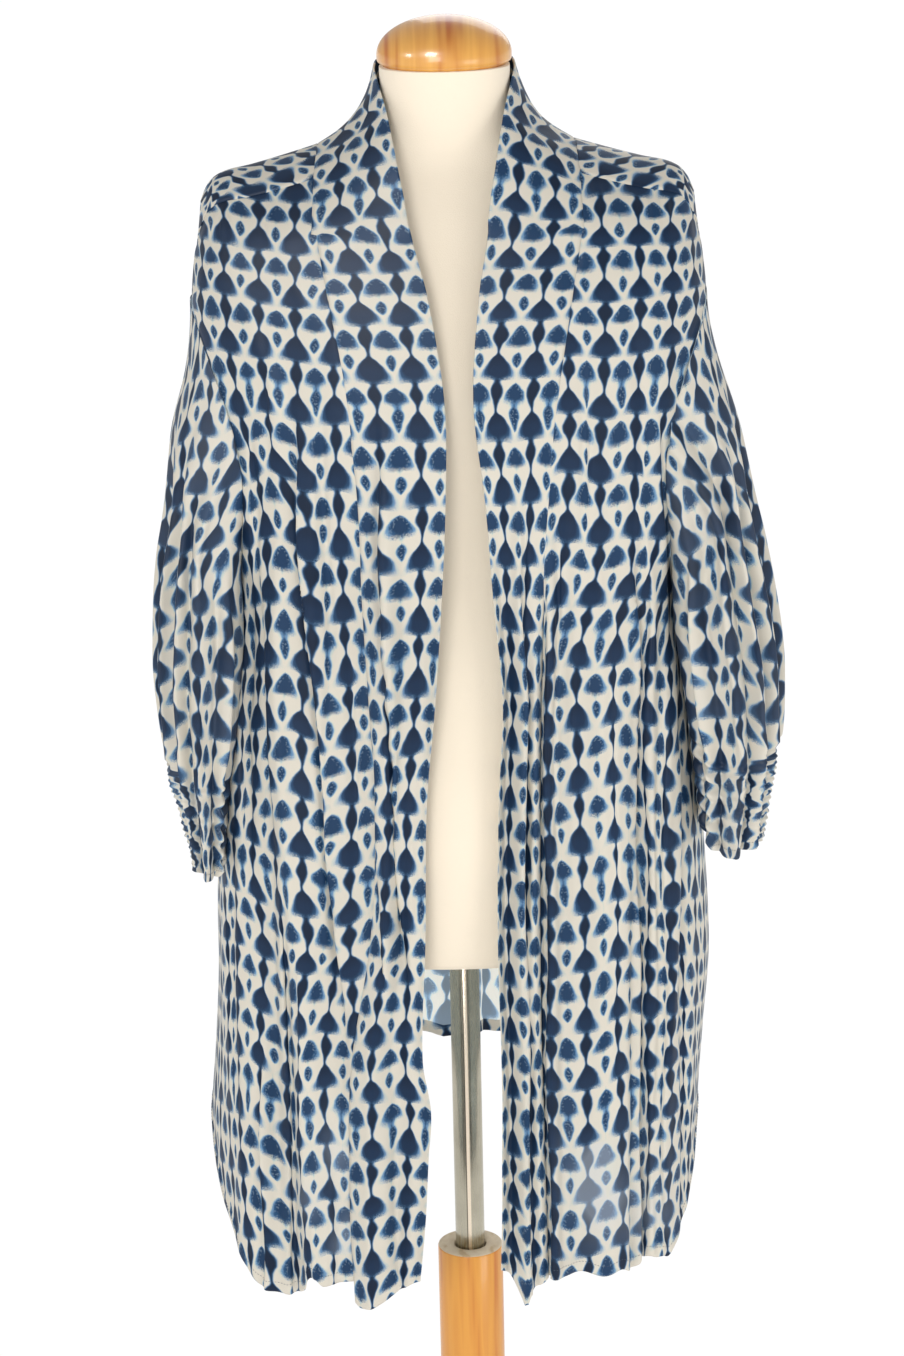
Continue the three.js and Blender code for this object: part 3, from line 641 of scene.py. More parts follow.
def hem_stitches(name, at, out, up, depth=HEM_DEPTH, closed=False):
    """The row of stitches that holds a hem: a line across a grid where the hem's turned part ends."""
    above = np.argmax(up > depth - STITCH_INSET, axis=0)
    place = np.arange(at.shape[1])
    low, high = up[above - 1, place], up[above, place]
    share = ((depth - STITCH_INSET - low) / (high - low))[:, None]
    line = mix(at[above - 1, place], at[above, place], share) + out[above, place] * STITCH_PROUD
    edges = [(i, i + 1) for i in range(len(line) - 1)] + ([(len(line) - 1, 0)] if closed else [])
    path = bpy.data.meshes.new(name)
    path.from_pydata((line * MM).tolist(), edges, [])
    row = add_object(name, path)
    modifier = row.modifiers.new("stitches", "NODES")
    modifier.node_group = stitches
    modifier[socket["Spacing"]] = STITCH_PITCH * MM
    modifier[socket["Size"]] = (STITCH_LENGTH * MM, STITCH_THICK * MM, STITCH_THICK * MM)
    ready = row.evaluated_get(bpy.context.evaluated_depsgraph_get())
    row.data = bpy.data.meshes.new_from_object(ready)
    row.modifiers.remove(modifier)
    row.data.shade_smooth()
    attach(row, "root")
    return row


# painted backlight: places near the hem where the figures are painted paler, standing in for light coming
# through the thin cloth from behind, read like ripples: place, length, half width, slant and strength
PAINTED_BACKLIGHT_PLACES = {
    LEFT: [(114, 566, 30, 13, 10, 0.8), (107, 480, 26, 12, -14, 0.5), (140, 520, 22, 12, 20, 0.4)],
    RIGHT: [(111, 549, 20, 12, 8, 0.8), (91, 533, 26, 12, -12, 0.6), (117, 522, 20, 18, 4, 0.8),
            (113, 502, 16, 12, 0, 0.6), (125, 516, 70, 40, 0, 0.25), (158, 486, 22, 16, 0, 0.5)],
}
# folds, creases and ripples are read by the functions of those names, with x from the middle outwards
FRONT_FOLDS = {
    LEFT: [
        (128, 152, 17, 9, 380, 1180), (158, 168, 16, -8, 380, 900), (182, 178, 15, 8, 380, 860),
        (108, 92, 14, -7, 640, 1200), (138, 146, 5, 3.2, 380, 1130), (113, 104, 5, -3.4, 700, 1290),
        (170, 160, 5, -3.0, 420, 940), (196, 187, 6, 3.4, 420, 1010), (124, 120, 5, -2.6, 380, 860),
        (149, 138, 6, 2.2, 760, 1290),
    ],
    RIGHT: [
        (122, 128, 16, 8, 380, 1110), (92, 100, 14, -7, 380, 1120), (152, 150, 16, -8, 380, 1000),
        (178, 166, 15, 7, 380, 1150), (133, 141, 5, 3.2, 380, 1150), (141, 149, 4.5, -3.4, 380, 1060),
        (80, 86, 5, -3.0, 470, 1210), (164, 158, 5, 3.0, 400, 1080), (190, 182, 6, -3.2, 420, 980),
        (112, 118, 6, 2.2, 700, 1270),
    ],
}
FRONT_CREASES = {
    LEFT: [
        (101, 127, 12, 2.2, 6.0, 640, 1230), (187, 173, 3, 11, 5.0, 760, 1110),
        (160, 151, 2.4, 9, 4.0, 380, 850), (139, 136, 8, 2.2, 2.6, 560, 800),
        (118, 121, 2.6, 7, 2.0, 380, 640), (150, 158, 7, 2.4, 3.4, 800, 1120),
        (112, 110, 2.4, 6, 2.2, 900, 1230), (176, 170, 6, 2.2, 3.5, 380, 700),
        (90, 88, 2.4, 6, 1.8, 760, 1060), (204, 196, 2.6, 8, 4.0, 500, 900),
        (166, 172, 2.4, 7, 3.2, 1010, 1240), (143, 147, 6, 2.6, 2.6, 1120, 1300),
        (128, 133, 5, 2.4, 2.4, 380, 560),
    ],
    RIGHT: [
        (71, 74, 2.4, 12, 7.0, 380, 1110),
        (148, 146, 5, 2.0, 4.4, 380, 1110), (158, 156, 2.2, 5, 4.6, 380, 1130),
        (127, 130, 2.6, 7, 1.8, 560, 1080), (83, 88, 2.4, 7, 2.0, 760, 1190),
        (167, 170, 2.4, 6, 4.4, 400, 1010), (176, 182, 7, 2.2, 4.0, 640, 1010),
        (189, 193, 3, 8, 3.6, 440, 820), (171, 165, 6, 2.4, 3.6, 960, 1240),
        (106, 113, 2.4, 6, 2.4, 1040, 1290), (149, 160, 2.4, 6, 3.0, 1060, 1250),
    ],
}
FRONT_RIPPLES = {
    LEFT: [(150, 1240, 46, 7, 16, 2.2), (172, 1180, 60, 8, 10, -2.4), (186, 1090, 50, 7, -8, 2.2),
           (128, 1320, 34, 8, 24, 1.8), (160, 1010, 52, 8, -10, -2.0), (176, 940, 40, 7, 14, 1.8)],
    RIGHT: [(152, 1235, 50, 7, -6, -2.4), (170, 1190, 60, 8, 6, 2.6), (184, 1100, 46, 7, 12, -2.2),
            (136, 1310, 36, 8, 20, 1.6), (158, 1020, 56, 8, 8, 2.0), (176, 930, 44, 7, -12, -1.8)],
}
# how far the hem hangs below its level, by share of the panel's width
front_dip = {
    LEFT: smooth_line([0, 0.05, 0.10, 0.135, 0.155, 0.19, 0.215, 0.24, 0.28, 0.33, 0.40, 0.55, 1],
                      [-7, -5, -4, -3, -9, -8, 4, 9, 12, 15, 14, 6, 0]),
    RIGHT: smooth_line([0, 0.06, 0.15, 0.22, 0.3, 0.36, 0.47, 0.52, 0.574, 0.63, 0.71, 0.8, 1],
                       [-9, -9, -8, -5, -8, -2, 1, 9, 11, 15, 12, 7, 0]),
}


def front_hem(share):
    """Height of a front's hem, which rounds up at the side."""
    rise = np.clip((share - CORNER_FROM) / (1 - CORNER_FROM), 0, 1)
    return FRONT_HEM + (BACK_HEM - FRONT_HEM) * rise ** CORNER_POWER


def front_grid(side, share, rows_low=206, rows_mid=12, rows_top=16):
    """Points of a front, their ways out, print places and heights above the hem, by shares of its
    width from the band outwards."""
    hem = front_hem(share) + (-front_dip[side](share) + 0.9 * np.sin(share * 41 + side))
    z = mix(hem, ARMHOLE_HIGH, spread(rows_low, 0.45, 0.05)[:, None])
    width = half_width(side, z)
    seam = np.arcsin((opening[f"{SIDES[side]}_seam"](z) - BAND_LAP) / width)
    under_sleeve = np.minimum(armhole_cut("front", z), 3.5 / body["front"](z))
    angle = mix(seam, math.pi / 2 - armhole_cut("front", z) + under_sleeve, share)
    fall = fall_to(side, angle, z)
    neck_angle = math.asin((COLLAR_END - BAND_LAP) / half_width(side, SHOULDER_TOP))
    top_angle = mix(neck_angle, math.pi / 2, share)[None, :]
    join = np.linspace(0, 1, rows_mid + 1)[1:, None]
    mid_angle = mix(angle[-1:], top_angle, ease(join))
    mid_fall = mix(fall[-1:], QUARTER, join)
    top_fall = mix(QUARTER, SEAM_FORWARD - 3, np.linspace(0, 1, rows_top + 1)[1:, None])
    top_angle = np.repeat(top_angle, rows_top, 0)
    angle = np.concatenate([angle, mid_angle, top_angle])
    fall = np.concatenate([fall, mid_fall, np.repeat(top_fall, len(share), 1)])
    at, out = on_body(side, "front", angle, fall)
    x, z = np.abs(at[..., 0]), at[..., 2]
    near_seam = ease(share / 0.035) * ease((1 - share) / 0.06)
    lift = folds(FRONT_FOLDS[side], x, z) * ease(share / 0.07) + ripples(FRONT_RIPPLES[side], x, z)
    sharp, lean, hidden = creases(FRONT_CREASES[side], x, z)
    lift = (lift + sharp) * near_seam + sway(x, z, 20 + side) * ease((1 - share) / 0.1) * 0.8
    up = z - hem
    lift = lift + turned_hem(up)
    # the panel is tucked under the band and the sleeve, and puckered and sewn down at the shoulder
    tuck = 1.3 * (1 - ease(share / 0.04)) + 0.7 * (1 - ease((1 - share) / 0.03))
    puckers = 0.8 * bell((fall - SEAM_FORWARD) / 28) * np.sin(x / 1.9 + 2.2 * np.sin(x / 7 + side))
    lift = lift + puckers * near_seam
    sewn_down = 1 - ease((fall - SEAM_FORWARD - 1) / 16)
    lift = lift * (1 - sewn_down) - tuck - 0.9 * sewn_down
    from_middle = mix(0, angle[:, :1], np.linspace(0, 1, 16))
    start = along(on_body(side, "front", from_middle, fall[:, :1])[0], 1)[:, -1:]
    at = at + out * lift[..., None]
    u = side * (start + along(at, 1) + hidden)
    level = print_height(at, fall)
    v = print_row(level) + slack(side, x, z)
    return lean_over(at, lean * near_seam), out, np.stack([u, v], -1), up


for side, word in SIDES.items():
    share = np.linspace(0, 1, 186)
    at, out, uv, up = front_grid(side, share)
    # painted backlight: the figures are painted paler in these places, as if lit through the thin cloth
    # from behind
    thin = np.clip(ripples(PAINTED_BACKLIGHT_PLACES[side], np.abs(at[..., 0]), at[..., 2]), 0, 1)
    mesh = cloth_mesh(f"front_{word}_panel", at, uv, thin=thin, hem=up < HEM_DEPTH)
    face_out(mesh, (0, -1, 0))
    panel = cloth_piece(f"front_{word}_panel", mesh)
    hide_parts(f"front_{word}")
    sewn = hem_stitches(f"front_{word}_hem_stitches", at, out, up)

# ----------------------------------------------
# Back: one panel from side seam to side seam. It wraps over the shoulders to the seams in front,
# and its hem ends well above the fronts'. Its paler wrong side, which carries a painted glow, shows
# below the torso.
# ----------------------------------------------
BACK_FOLDS = [
    (-165, -120, 22, 9, 540, 1240), (-105, -60, 20, -8, 540, 1120), (-48, -30, 20, 8, 540, 1260),
    (8, 10, 20, -7, 540, 1000), (62, 42, 20, 9, 540, 1220), (118, 92, 22, -8, 540, 1150),
    (168, 132, 20, 8, 540, 1230), (-140, -104, 7, -3.5, 540, 1180), (-82, -46, 6, 3.0, 560, 1080),
    (-22, -12, 6, -3.2, 540, 1200), (34, 24, 7, 3.0, 540, 1110), (92, 66, 6, -3.4, 540, 1240),
    (148, 116, 7, 3.2, 560, 1150),
]
BACK_CREASES = [
    (-178, -150, 3, 9, 5.0, 400, 1150), (-150, -112, 9, 2.4, 5.5, 400, 1290),
    (-122, -96, 2.4, 8, 4.0, 660, 1120), (-96, -58, 2.6, 11, 5.0, 400, 1230),
    (-66, -40, 7, 2.4, 4.0, 400, 900), (-34, -24, 2.4, 8, 4.5, 700, 1300),
    (-12, -6, 9, 2.6, 4.5, 400, 1180), (22, 16, 2.4, 7, 4.0, 400, 940),
    (46, 30, 8, 2.4, 5.0, 640, 1270), (76, 50, 2.6, 10, 5.0, 400, 1190),
    (104, 84, 7, 2.4, 4.0, 400, 1010), (134, 100, 2.4, 9, 5.5, 400, 1290),
    (158, 128, 7, 2.4, 4.0, 680, 1160), (182, 156, 9, 3, 5.0, 400, 1110),
]
BACK_RIPPLES = [
    (-120, 1300, 40, 12, 52, 2.4), (118, 1306, 42, 12, -50, 2.4), (-60, 1340, 34, 9, 66, -1.8),
    (64, 1338, 34, 9, -64, -1.8), (-150, 1130, 60, 9, 14, 2.4), (152, 1120, 56, 9, -12, 2.2),
    (-30, 1180, 70, 11, 6, -2.2), (40, 1240, 60, 10, -9, 2.0),
]
# where the neck is cut out: half width, and how far behind the ridge the seam lies there
neck_cut = smooth_line([0, 50, 76, 88, 98, 103.5, 105.5, 107], [65, 63.5, 59, 50, 35, 10, -20, -50])


def back_grid(count=177, rows_low=170, rows_mid=12, rows_top=40):
    """Points of the back, their ways out, print places and heights above the hem."""
    wide = half_width(RIGHT, SHOULDER_TOP)
    turn = np.linspace(-math.pi / 2, math.pi / 2, count)
    neck_angle = math.asin(COLLAR_END / wide)
    crowded = neck_angle * (1 - np.maximum(0, 1 - np.abs(turn) / neck_angle) ** 1.35)
    turn = np.sign(turn) * np.where(np.abs(turn) < neck_angle, crowded, np.abs(turn))
    level_angle = np.abs(turn)
    hem = BACK_HEM + 2.2 * np.sin(turn * 17) + 1.2 * np.sin(turn * 31)
    z = mix(hem, ARMHOLE_HIGH, spread(rows_low, 0.45, 0.06)[:, None])
    angle = level_angle * (1 - armhole_cut("back", z) / (math.pi / 2))
    top = np.where(level_angle >= neck_angle - 1e-6, -SEAM_FORWARD, neck_cut(wide * np.sin(level_angle)))

    def laid(side):
        """The whole back laid on one side's shape: points, ways out and falls."""
        fall = fall_to(side, angle, z)
        join = np.linspace(0, 1, rows_mid + 1)[1:, None]
        mid_angle = mix(angle[-1:], level_angle, ease(join))
        mid_fall = mix(fall[-1:], QUARTER, join)
        top_fall = mix(QUARTER, top, np.linspace(0, 1, rows_top + 1)[1:, None])
        whole_angle = np.concatenate([angle, mid_angle, np.tile(level_angle, (rows_top, 1))])
        whole_fall = np.concatenate([fall, mid_fall, top_fall])
        return (*on_body(side, "back", whole_angle, whole_fall), whole_fall)

    on_left = turn < 0
    at, out, fall = [np.where(on_left[:, None] if left.ndim == 3 else on_left, left, right)
                     for left, right in zip(laid(LEFT), laid(RIGHT))]
    x, z = at[..., 0], at[..., 2]
    near_seam = ease((math.pi / 2 - level_angle) / 0.16)
    lower = ease((fall - QUARTER * 0.6) / 60)
    lift = folds(BACK_FOLDS, x, z) * lower + ripples(BACK_RIPPLES, x, z) * lower
    sharp, lean, hidden = creases(BACK_CREASES, x, z)
    lift = (lift + (sway(x, z, 5) * 0.8 + sharp) * lower) * near_seam
    lift = lift + turned_hem(z - hem)
    v = np.where(fall < QUARTER, z[-1 - rows_top] + QUARTER - fall, z)
    v = print_row(v) + slack(1, x, z) * near_seam
    at = at + out * lift[..., None]
    run = along(at, 1) + hidden * lower
    u = run - run[:, count // 2, None]
    return lean_over(at, lean * lower * near_seam), out, np.stack([u, v], -1), z - hem


at, out, uv, up = back_grid()
mesh = cloth_mesh("back_panel", at, uv, hem=up < HEM_DEPTH)
face_out(mesh, (0, 1, 0))
back = cloth_piece("back_panel", mesh)
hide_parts("back")
sewn = hem_stitches("back_hem_stitches", at, out, up)

# ----------------------------------------------
# Band: a strip folded double along its free edge. It edges both fronts from the hem, rises round
# the neck as a soft collar and is joined at the centre back.
# ----------------------------------------------
BAND_WIDTH, BAND_THICK, BAND_PROUD = 76.0, 1.7, 0.35
BAND_PRINT_FROM = 12.0
COLLAR_HOLLOW = 7.0
# how far the band's end hangs below the fronts' lowest level, from its seam to its free edge
band_dip = {
    LEFT: smooth_line([0, 0.12, 0.5, 0.84, 1], [14, 17, 10, -3, -9]),
    RIGHT: smooth_line([0, 0.25, 0.46, 0.52, 0.58, 0.74, 0.88, 1], [-8, -2, 9, 14, 7, -7, -14, -18]),
}
# the collar from the shoulder seam to the centre back: half width and fall behind the ridge of its
# seam, and x, y and z of its free edge
collar = [smooth_line(range(11), values) for values in zip(*[
    (107, -94, 33, -91, 1354), (107, -79, 36, -81, 1374), (107, -65, 40, -72, 1394),
    (107, -50, 44, -58, 1415), (105.5, -20, 49, -38, 1438), (103.5, 10, 55, -14, 1457),
    (98, 35, 58, 10, 1467), (88, 50, 54, 33, 1472), (76, 59, 43, 51, 1474),
    (50, 63.5, 24, 61, 1475), (0, 65, 0, 65, 1475),
])]
# soft folds: place across the band at the low and at the high end, half width, height and reach
BAND_FOLDS = {
    LEFT: [(0.30, 0.34, 0.10, 4.5, 420, 1120), (0.58, 0.52, 0.09, -4.0, 420, 1180),
           (0.80, 0.78, 0.08, 3.0, 520, 1010)],
    RIGHT: [(0.28, 0.30, 0.10, -3.6, 420, 1150), (0.55, 0.50, 0.10, 4.6, 420, 1230),
            (0.80, 0.84, 0.08, -3.0, 600, 1150)],
}
BAND_CREASES = {
    LEFT: [(45, 59, 13, 2.2, 8.0, 680, 1230), (62, 73, 9, 2.2, 4.5, 640, 1010),
           (70, 66, 2.4, 8, 3.5, 420, 640)],
    RIGHT: [(48, 52, 6, 2.2, 4.5, 420, 1120), (56, 60, 2.4, 6, 3.5, 640, 1190)],
}


def band_grid(side, share, rows_low=250, rows_collar=120):
    """Points of half the band, their ways out and print places, by shares from its seam outwards."""
    word = SIDES[side]
    t = spread(rows_low, 0.45, 0.05)[:, None]
    level = mix(FRONT_HEM, COLLAR_START, t)
    z = level - band_dip[side](share) * np.clip(1 - t * 4.2, 0, 1) ** 3
    x = mix(opening[f"{word}_seam"](z), opening[f"{word}_edge"](z), share)
    angle = np.arcsin(x / half_width(side, z))
    at, out = on_body(side, "front", angle, fall_to(side, angle, z))
    lift = 5 * ease((1200 - z) / 300) * np.sin(2 * math.pi * share) * np.where(share < 0.5, 1, 1.4)
    for low_at, high_at, width, height, low, high in BAND_FOLDS[side]:
        crest = mix(low_at, high_at, np.clip((z - low) / (high - low), 0, 1))
        fade = ease((high - z) / 140)
        lift = lift + height * fade * bell((share - crest) / width) * ease(share / 0.08)
    lift = lift + sway(x, z, 40 + side) * 0.7 * ease(share / 0.1)
    sharp, lean, _ = creases(BAND_CREASES[side], x, z)
    inside = ease(share / 0.06) * ease((1 - share) / 0.1)
    lift = lift + sharp * inside + turned_hem(z - z[:1], rise=0.3)
    front = lean_over(at + out * lift[..., None], -lean * inside)
    station = np.linspace(0, 10, rows_collar + 1)[1:]
    seam_x, behind, edge_x, edge_y, edge_z = [line(station) for line in collar]
    seam_angle = np.arcsin(np.clip(seam_x / half_width(side, SHOULDER_TOP), 0, 1))
    seam, seam_out = on_body(side, "back", seam_angle, behind)
    edge = np.stack([side * edge_x, edge_y, edge_z], -1)
    rise = np.stack([edge[:, 0], edge[:, 1] * 0.8, 0.35 * np.hypot(edge[:, 0], edge[:, 1] * 0.8)], -1)
    rise = unit(rise)[:, None, :]
    arch = np.sin(math.pi * share)
    hollow = COLLAR_HOLLOW * ease((behind + SEAM_FORWARD) / 40) * ease(seam_x / 98)
    across = np.broadcast_to(share * 76, (rows_collar, len(share)))
    soft = sway(across, station[:, None] * 60, 60 + side) * 0.7
    neck = mix(seam[:, None, :], edge[:, None, :], share[:, None])
    neck = neck - rise * (hollow[:, None] * arch)[..., None]
    neck = neck + rise * (soft * arch)[..., None]
    neck_out = unit(mix(seam_out[:, None, :], rise, ease(share[:, None] * 2)))
    at, out = np.concatenate([front, neck]), np.concatenate([out, neck_out])
    middle = len(share) // 2
    length = along(at[:, middle:middle + 1], 0)
    u = np.broadcast_to(side * (BAND_PRINT_FROM + (1 - share) * BAND_WIDTH), at.shape[:2])
    v = np.broadcast_to(print_row(length + FRONT_HEM), at.shape[:2])
    return at, out, np.stack([u, v], -1)


def folded_band(name, at, out, uv):
    """The doubled strip: outer face, rounded free edge and inner face, closed at its seam and ends."""
    roll = [(0.25, 0.02), (0.6, 0.35), (0.6, 0.65), (0.25, 0.98)]
    edge_way = unit(at[:, -1] - at[:, -2])
    rounded = [at[:, -1] + edge_way * (push * BAND_THICK) - out[:, -1] * (BAND_THICK * depth)
               for push, depth in roll]
    inner = at - out * BAND_THICK
    section = np.concatenate([at, np.stack(rounded, 1), inner[:, ::-1]], 1)
    edge_uv = np.repeat(uv[:, -1:], len(rounded), 1)
    uv_all = np.concatenate([uv, edge_uv, uv[:, ::-1], uv[:, :1]], 1)
    mesh = cloth_mesh(name, section, uv_all, closed=True)
    edit = bmesh.new()
    edit.from_mesh(mesh)
    bmesh.ops.holes_fill(edit, edges=[e for e in edit.edges if e.is_boundary], sides=0)
    bmesh.ops.triangulate(edit, faces=[f for f in edit.faces if len(f.verts) > 4])
    bmesh.ops.recalc_face_normals(edit, faces=edit.faces)
    edit.to_mesh(mesh)
    edit.free()
    return mesh


for side, word in SIDES.items():
    share = np.linspace(0, 1, 25)
    at, out, uv = band_grid(side, share)
    at = at + out * BAND_PROUD
    mesh = folded_band(f"band_{word}_strip", at, out, uv)
    mesh.shade_smooth()
    mesh.materials.append(cloth_right)
    strip = add_object(f"band_{word}_strip", mesh)
    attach(strip, "root")
    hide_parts(f"band_{word}")

# ----------------------------------------------
# Sleeves: three-quarter length, empty, so each hangs as a flat tube beside the body. An elastic
# channel up the outer side of the end draws the cloth into small gathers, one above the other.
# ----------------------------------------------
SLEEVE_CLEAR, SLEEVE_HUG, SLEEVE_MIDDLE_Y, SLEEVE_HALF_DEPTH = 2.2, 12.0, -4.0, 78.0
SLEEVE_HEAD, SLEEVE_PROUD = 176.0, 1.3
SLEEVE_BLEND = 0.32                      # share of its length over which the tube leaves the armhole
SLEEVE_THIN = 0.12                       # the sleeves' figures are all paled a little, through the same attribute as the fronts' thin places
SLEEVE_HEM_DEPTH = 7.0
RUCHE_HEIGHT, RUCHE_GATHERS, RUCHE_WIDE = 84.0, 15, 0.3
# height of the hem by place round the tube: 0 is the outer side, 0.5 the front, 1.5 the back
sleeve_hem = {
    LEFT: smooth_line([0, 0.15, 0.28, 0.42, 0.52, 0.7, 1, 1.5, 1.85, 2],
                      [806, 810, 811, 803, 800, 804, 812, 808, 809, 806]),
    RIGHT: smooth_line([0, 0.15, 0.28, 0.42, 0.52, 0.62, 0.75, 1, 1.5, 1.85, 2],
                       [806, 812, 815, 813, 811, 817, 828, 831, 816, 812, 806]),
}
# the outermost reach by height
sleeve_reach = columns("z left right", [
    (760, 224, 249), (800, 230, 255), (841, 236, 262), (890, 246, 270), (962, 253, 271),
    (1002, 252, 267), (1054, 248, 258), (1109, 240, 247), (1177, 234, 238), (1228, 222, 226),
    (1285, 213, 213),
])
# folds: place round the tube at the low and at the high end, half width, height and reach
SLEEVE_FOLDS = {
    LEFT: [
        (0.07, 0.10, 0.028, 4.5, 860, 1180), (0.15, 0.17, 0.030, -4.5, 800, 1200),
        (0.21, 0.24, 0.026, 5.5, 820, 1160), (0.29, 0.30, 0.030, -5.5, 780, 1230),
        (0.35, 0.37, 0.024, 5.5, 780, 1130), (0.42, 0.42, 0.028, -5.0, 780, 1190),
        (0.49, 0.47, 0.026, 5.0, 760, 1210), (0.56, 0.53, 0.028, -4.5, 780, 1120),
        (0.62, 0.60, 0.030, 4.0, 760, 1090), (0.70, 0.68, 0.03, -3.5, 760, 1040),
        (1.93, 1.90, 0.030, 4.5, 840, 1190), (1.84, 1.83, 0.034, -5.0, 780, 1230),
        (1.75, 1.77, 0.030, 5.0, 780, 1170), (1.66, 1.68, 0.032, -5.0, 780, 1210),
        (1.58, 1.60, 0.030, 4.5, 780, 1150), (1.49, 1.50, 0.034, -4.0, 780, 1110),
    ],
    RIGHT: [
        (0.06, 0.09, 0.030, 5.0, 880, 1190), (0.13, 0.17, 0.028, -5.0, 820, 1230),
        (0.20, 0.24, 0.028, 5.5, 800, 1200), (0.27, 0.30, 0.026, -5.5, 790, 1170),
        (0.33, 0.35, 0.028, 6.0, 780, 1240), (0.41, 0.40, 0.030, -6.5, 780, 1250),
        (0.48, 0.46, 0.026, 6.0, 780, 1230), (0.55, 0.51, 0.028, -5.5, 780, 1180),
        (0.62, 0.57, 0.028, 4.5, 760, 1120), (0.70, 0.66, 0.03, -3.5, 760, 1050),
        (1.94, 1.91, 0.028, 4.5, 840, 1170), (1.85, 1.86, 0.032, -5.0, 780, 1220),
        (1.76, 1.74, 0.030, 5.5, 780, 1190), (1.67, 1.66, 0.032, -5.0, 780, 1160),
        (1.59, 1.58, 0.030, 4.5, 780, 1200), (1.50, 1.48, 0.034, -4.0, 780, 1090),
    ],
}


# distance round the flat section of an average tube, from its outer line
SECTION_STEPS, SECTION_HALF_THICK = 90, 28
section_turn = np.linspace(0, math.pi, SECTION_STEPS + 1)
section_run = np.hypot(SECTION_HALF_THICK * np.sin(section_turn), SLEEVE_HALF_DEPTH * np.cos(section_turn))
section_run = (section_run[1:] + section_run[:-1]) / 2 * math.pi / SECTION_STEPS
section_arc = np.concatenate([[0], np.cumsum(section_run)])


def sleeve_section(side, z):
    """Where the tube's section begins beside the body, and half its thickness."""
    in_armhole = mix(half_width(side, ARMHOLE_LOW), SLEEVE_HEAD, ease((z - ARMHOLE_LOW) / 200))
    start = np.where(z > ARMHOLE_LOW, in_armhole, half_width(side, z)) + SLEEVE_CLEAR
    return start, (sleeve_reach[SIDES[side]](z) - start) / 2


def sleeve_tube(side, around, z):
    """The hanging tube at a height; around runs from 0 (outer side) through 0.5 (front) to 2."""
    around, z = np.broadcast_arrays(around, z)
    start, half_thick = sleeve_section(side, z)
    inner = start - SLEEVE_CLEAR
    c, s = np.cos(math.pi * around), np.sin(math.pi * around)
    flat = np.sign(c) * np.abs(c) ** np.where(c >= 0, 0.8, 0.5)
    y = SLEEVE_MIDDLE_Y - SLEEVE_HALF_DEPTH * s
    body_round = np.sin(np.arccos(np.minimum(1, np.abs(y) / body["front"](z)) ** (1 / SECTION_POWER)))
    inwards = np.minimum(SLEEVE_HUG, inner * (1 - body_round)) * (1 - flat) / 2
    return np.stack([side * (start + half_thick * (1 + flat) - inwards), y, z], -1)


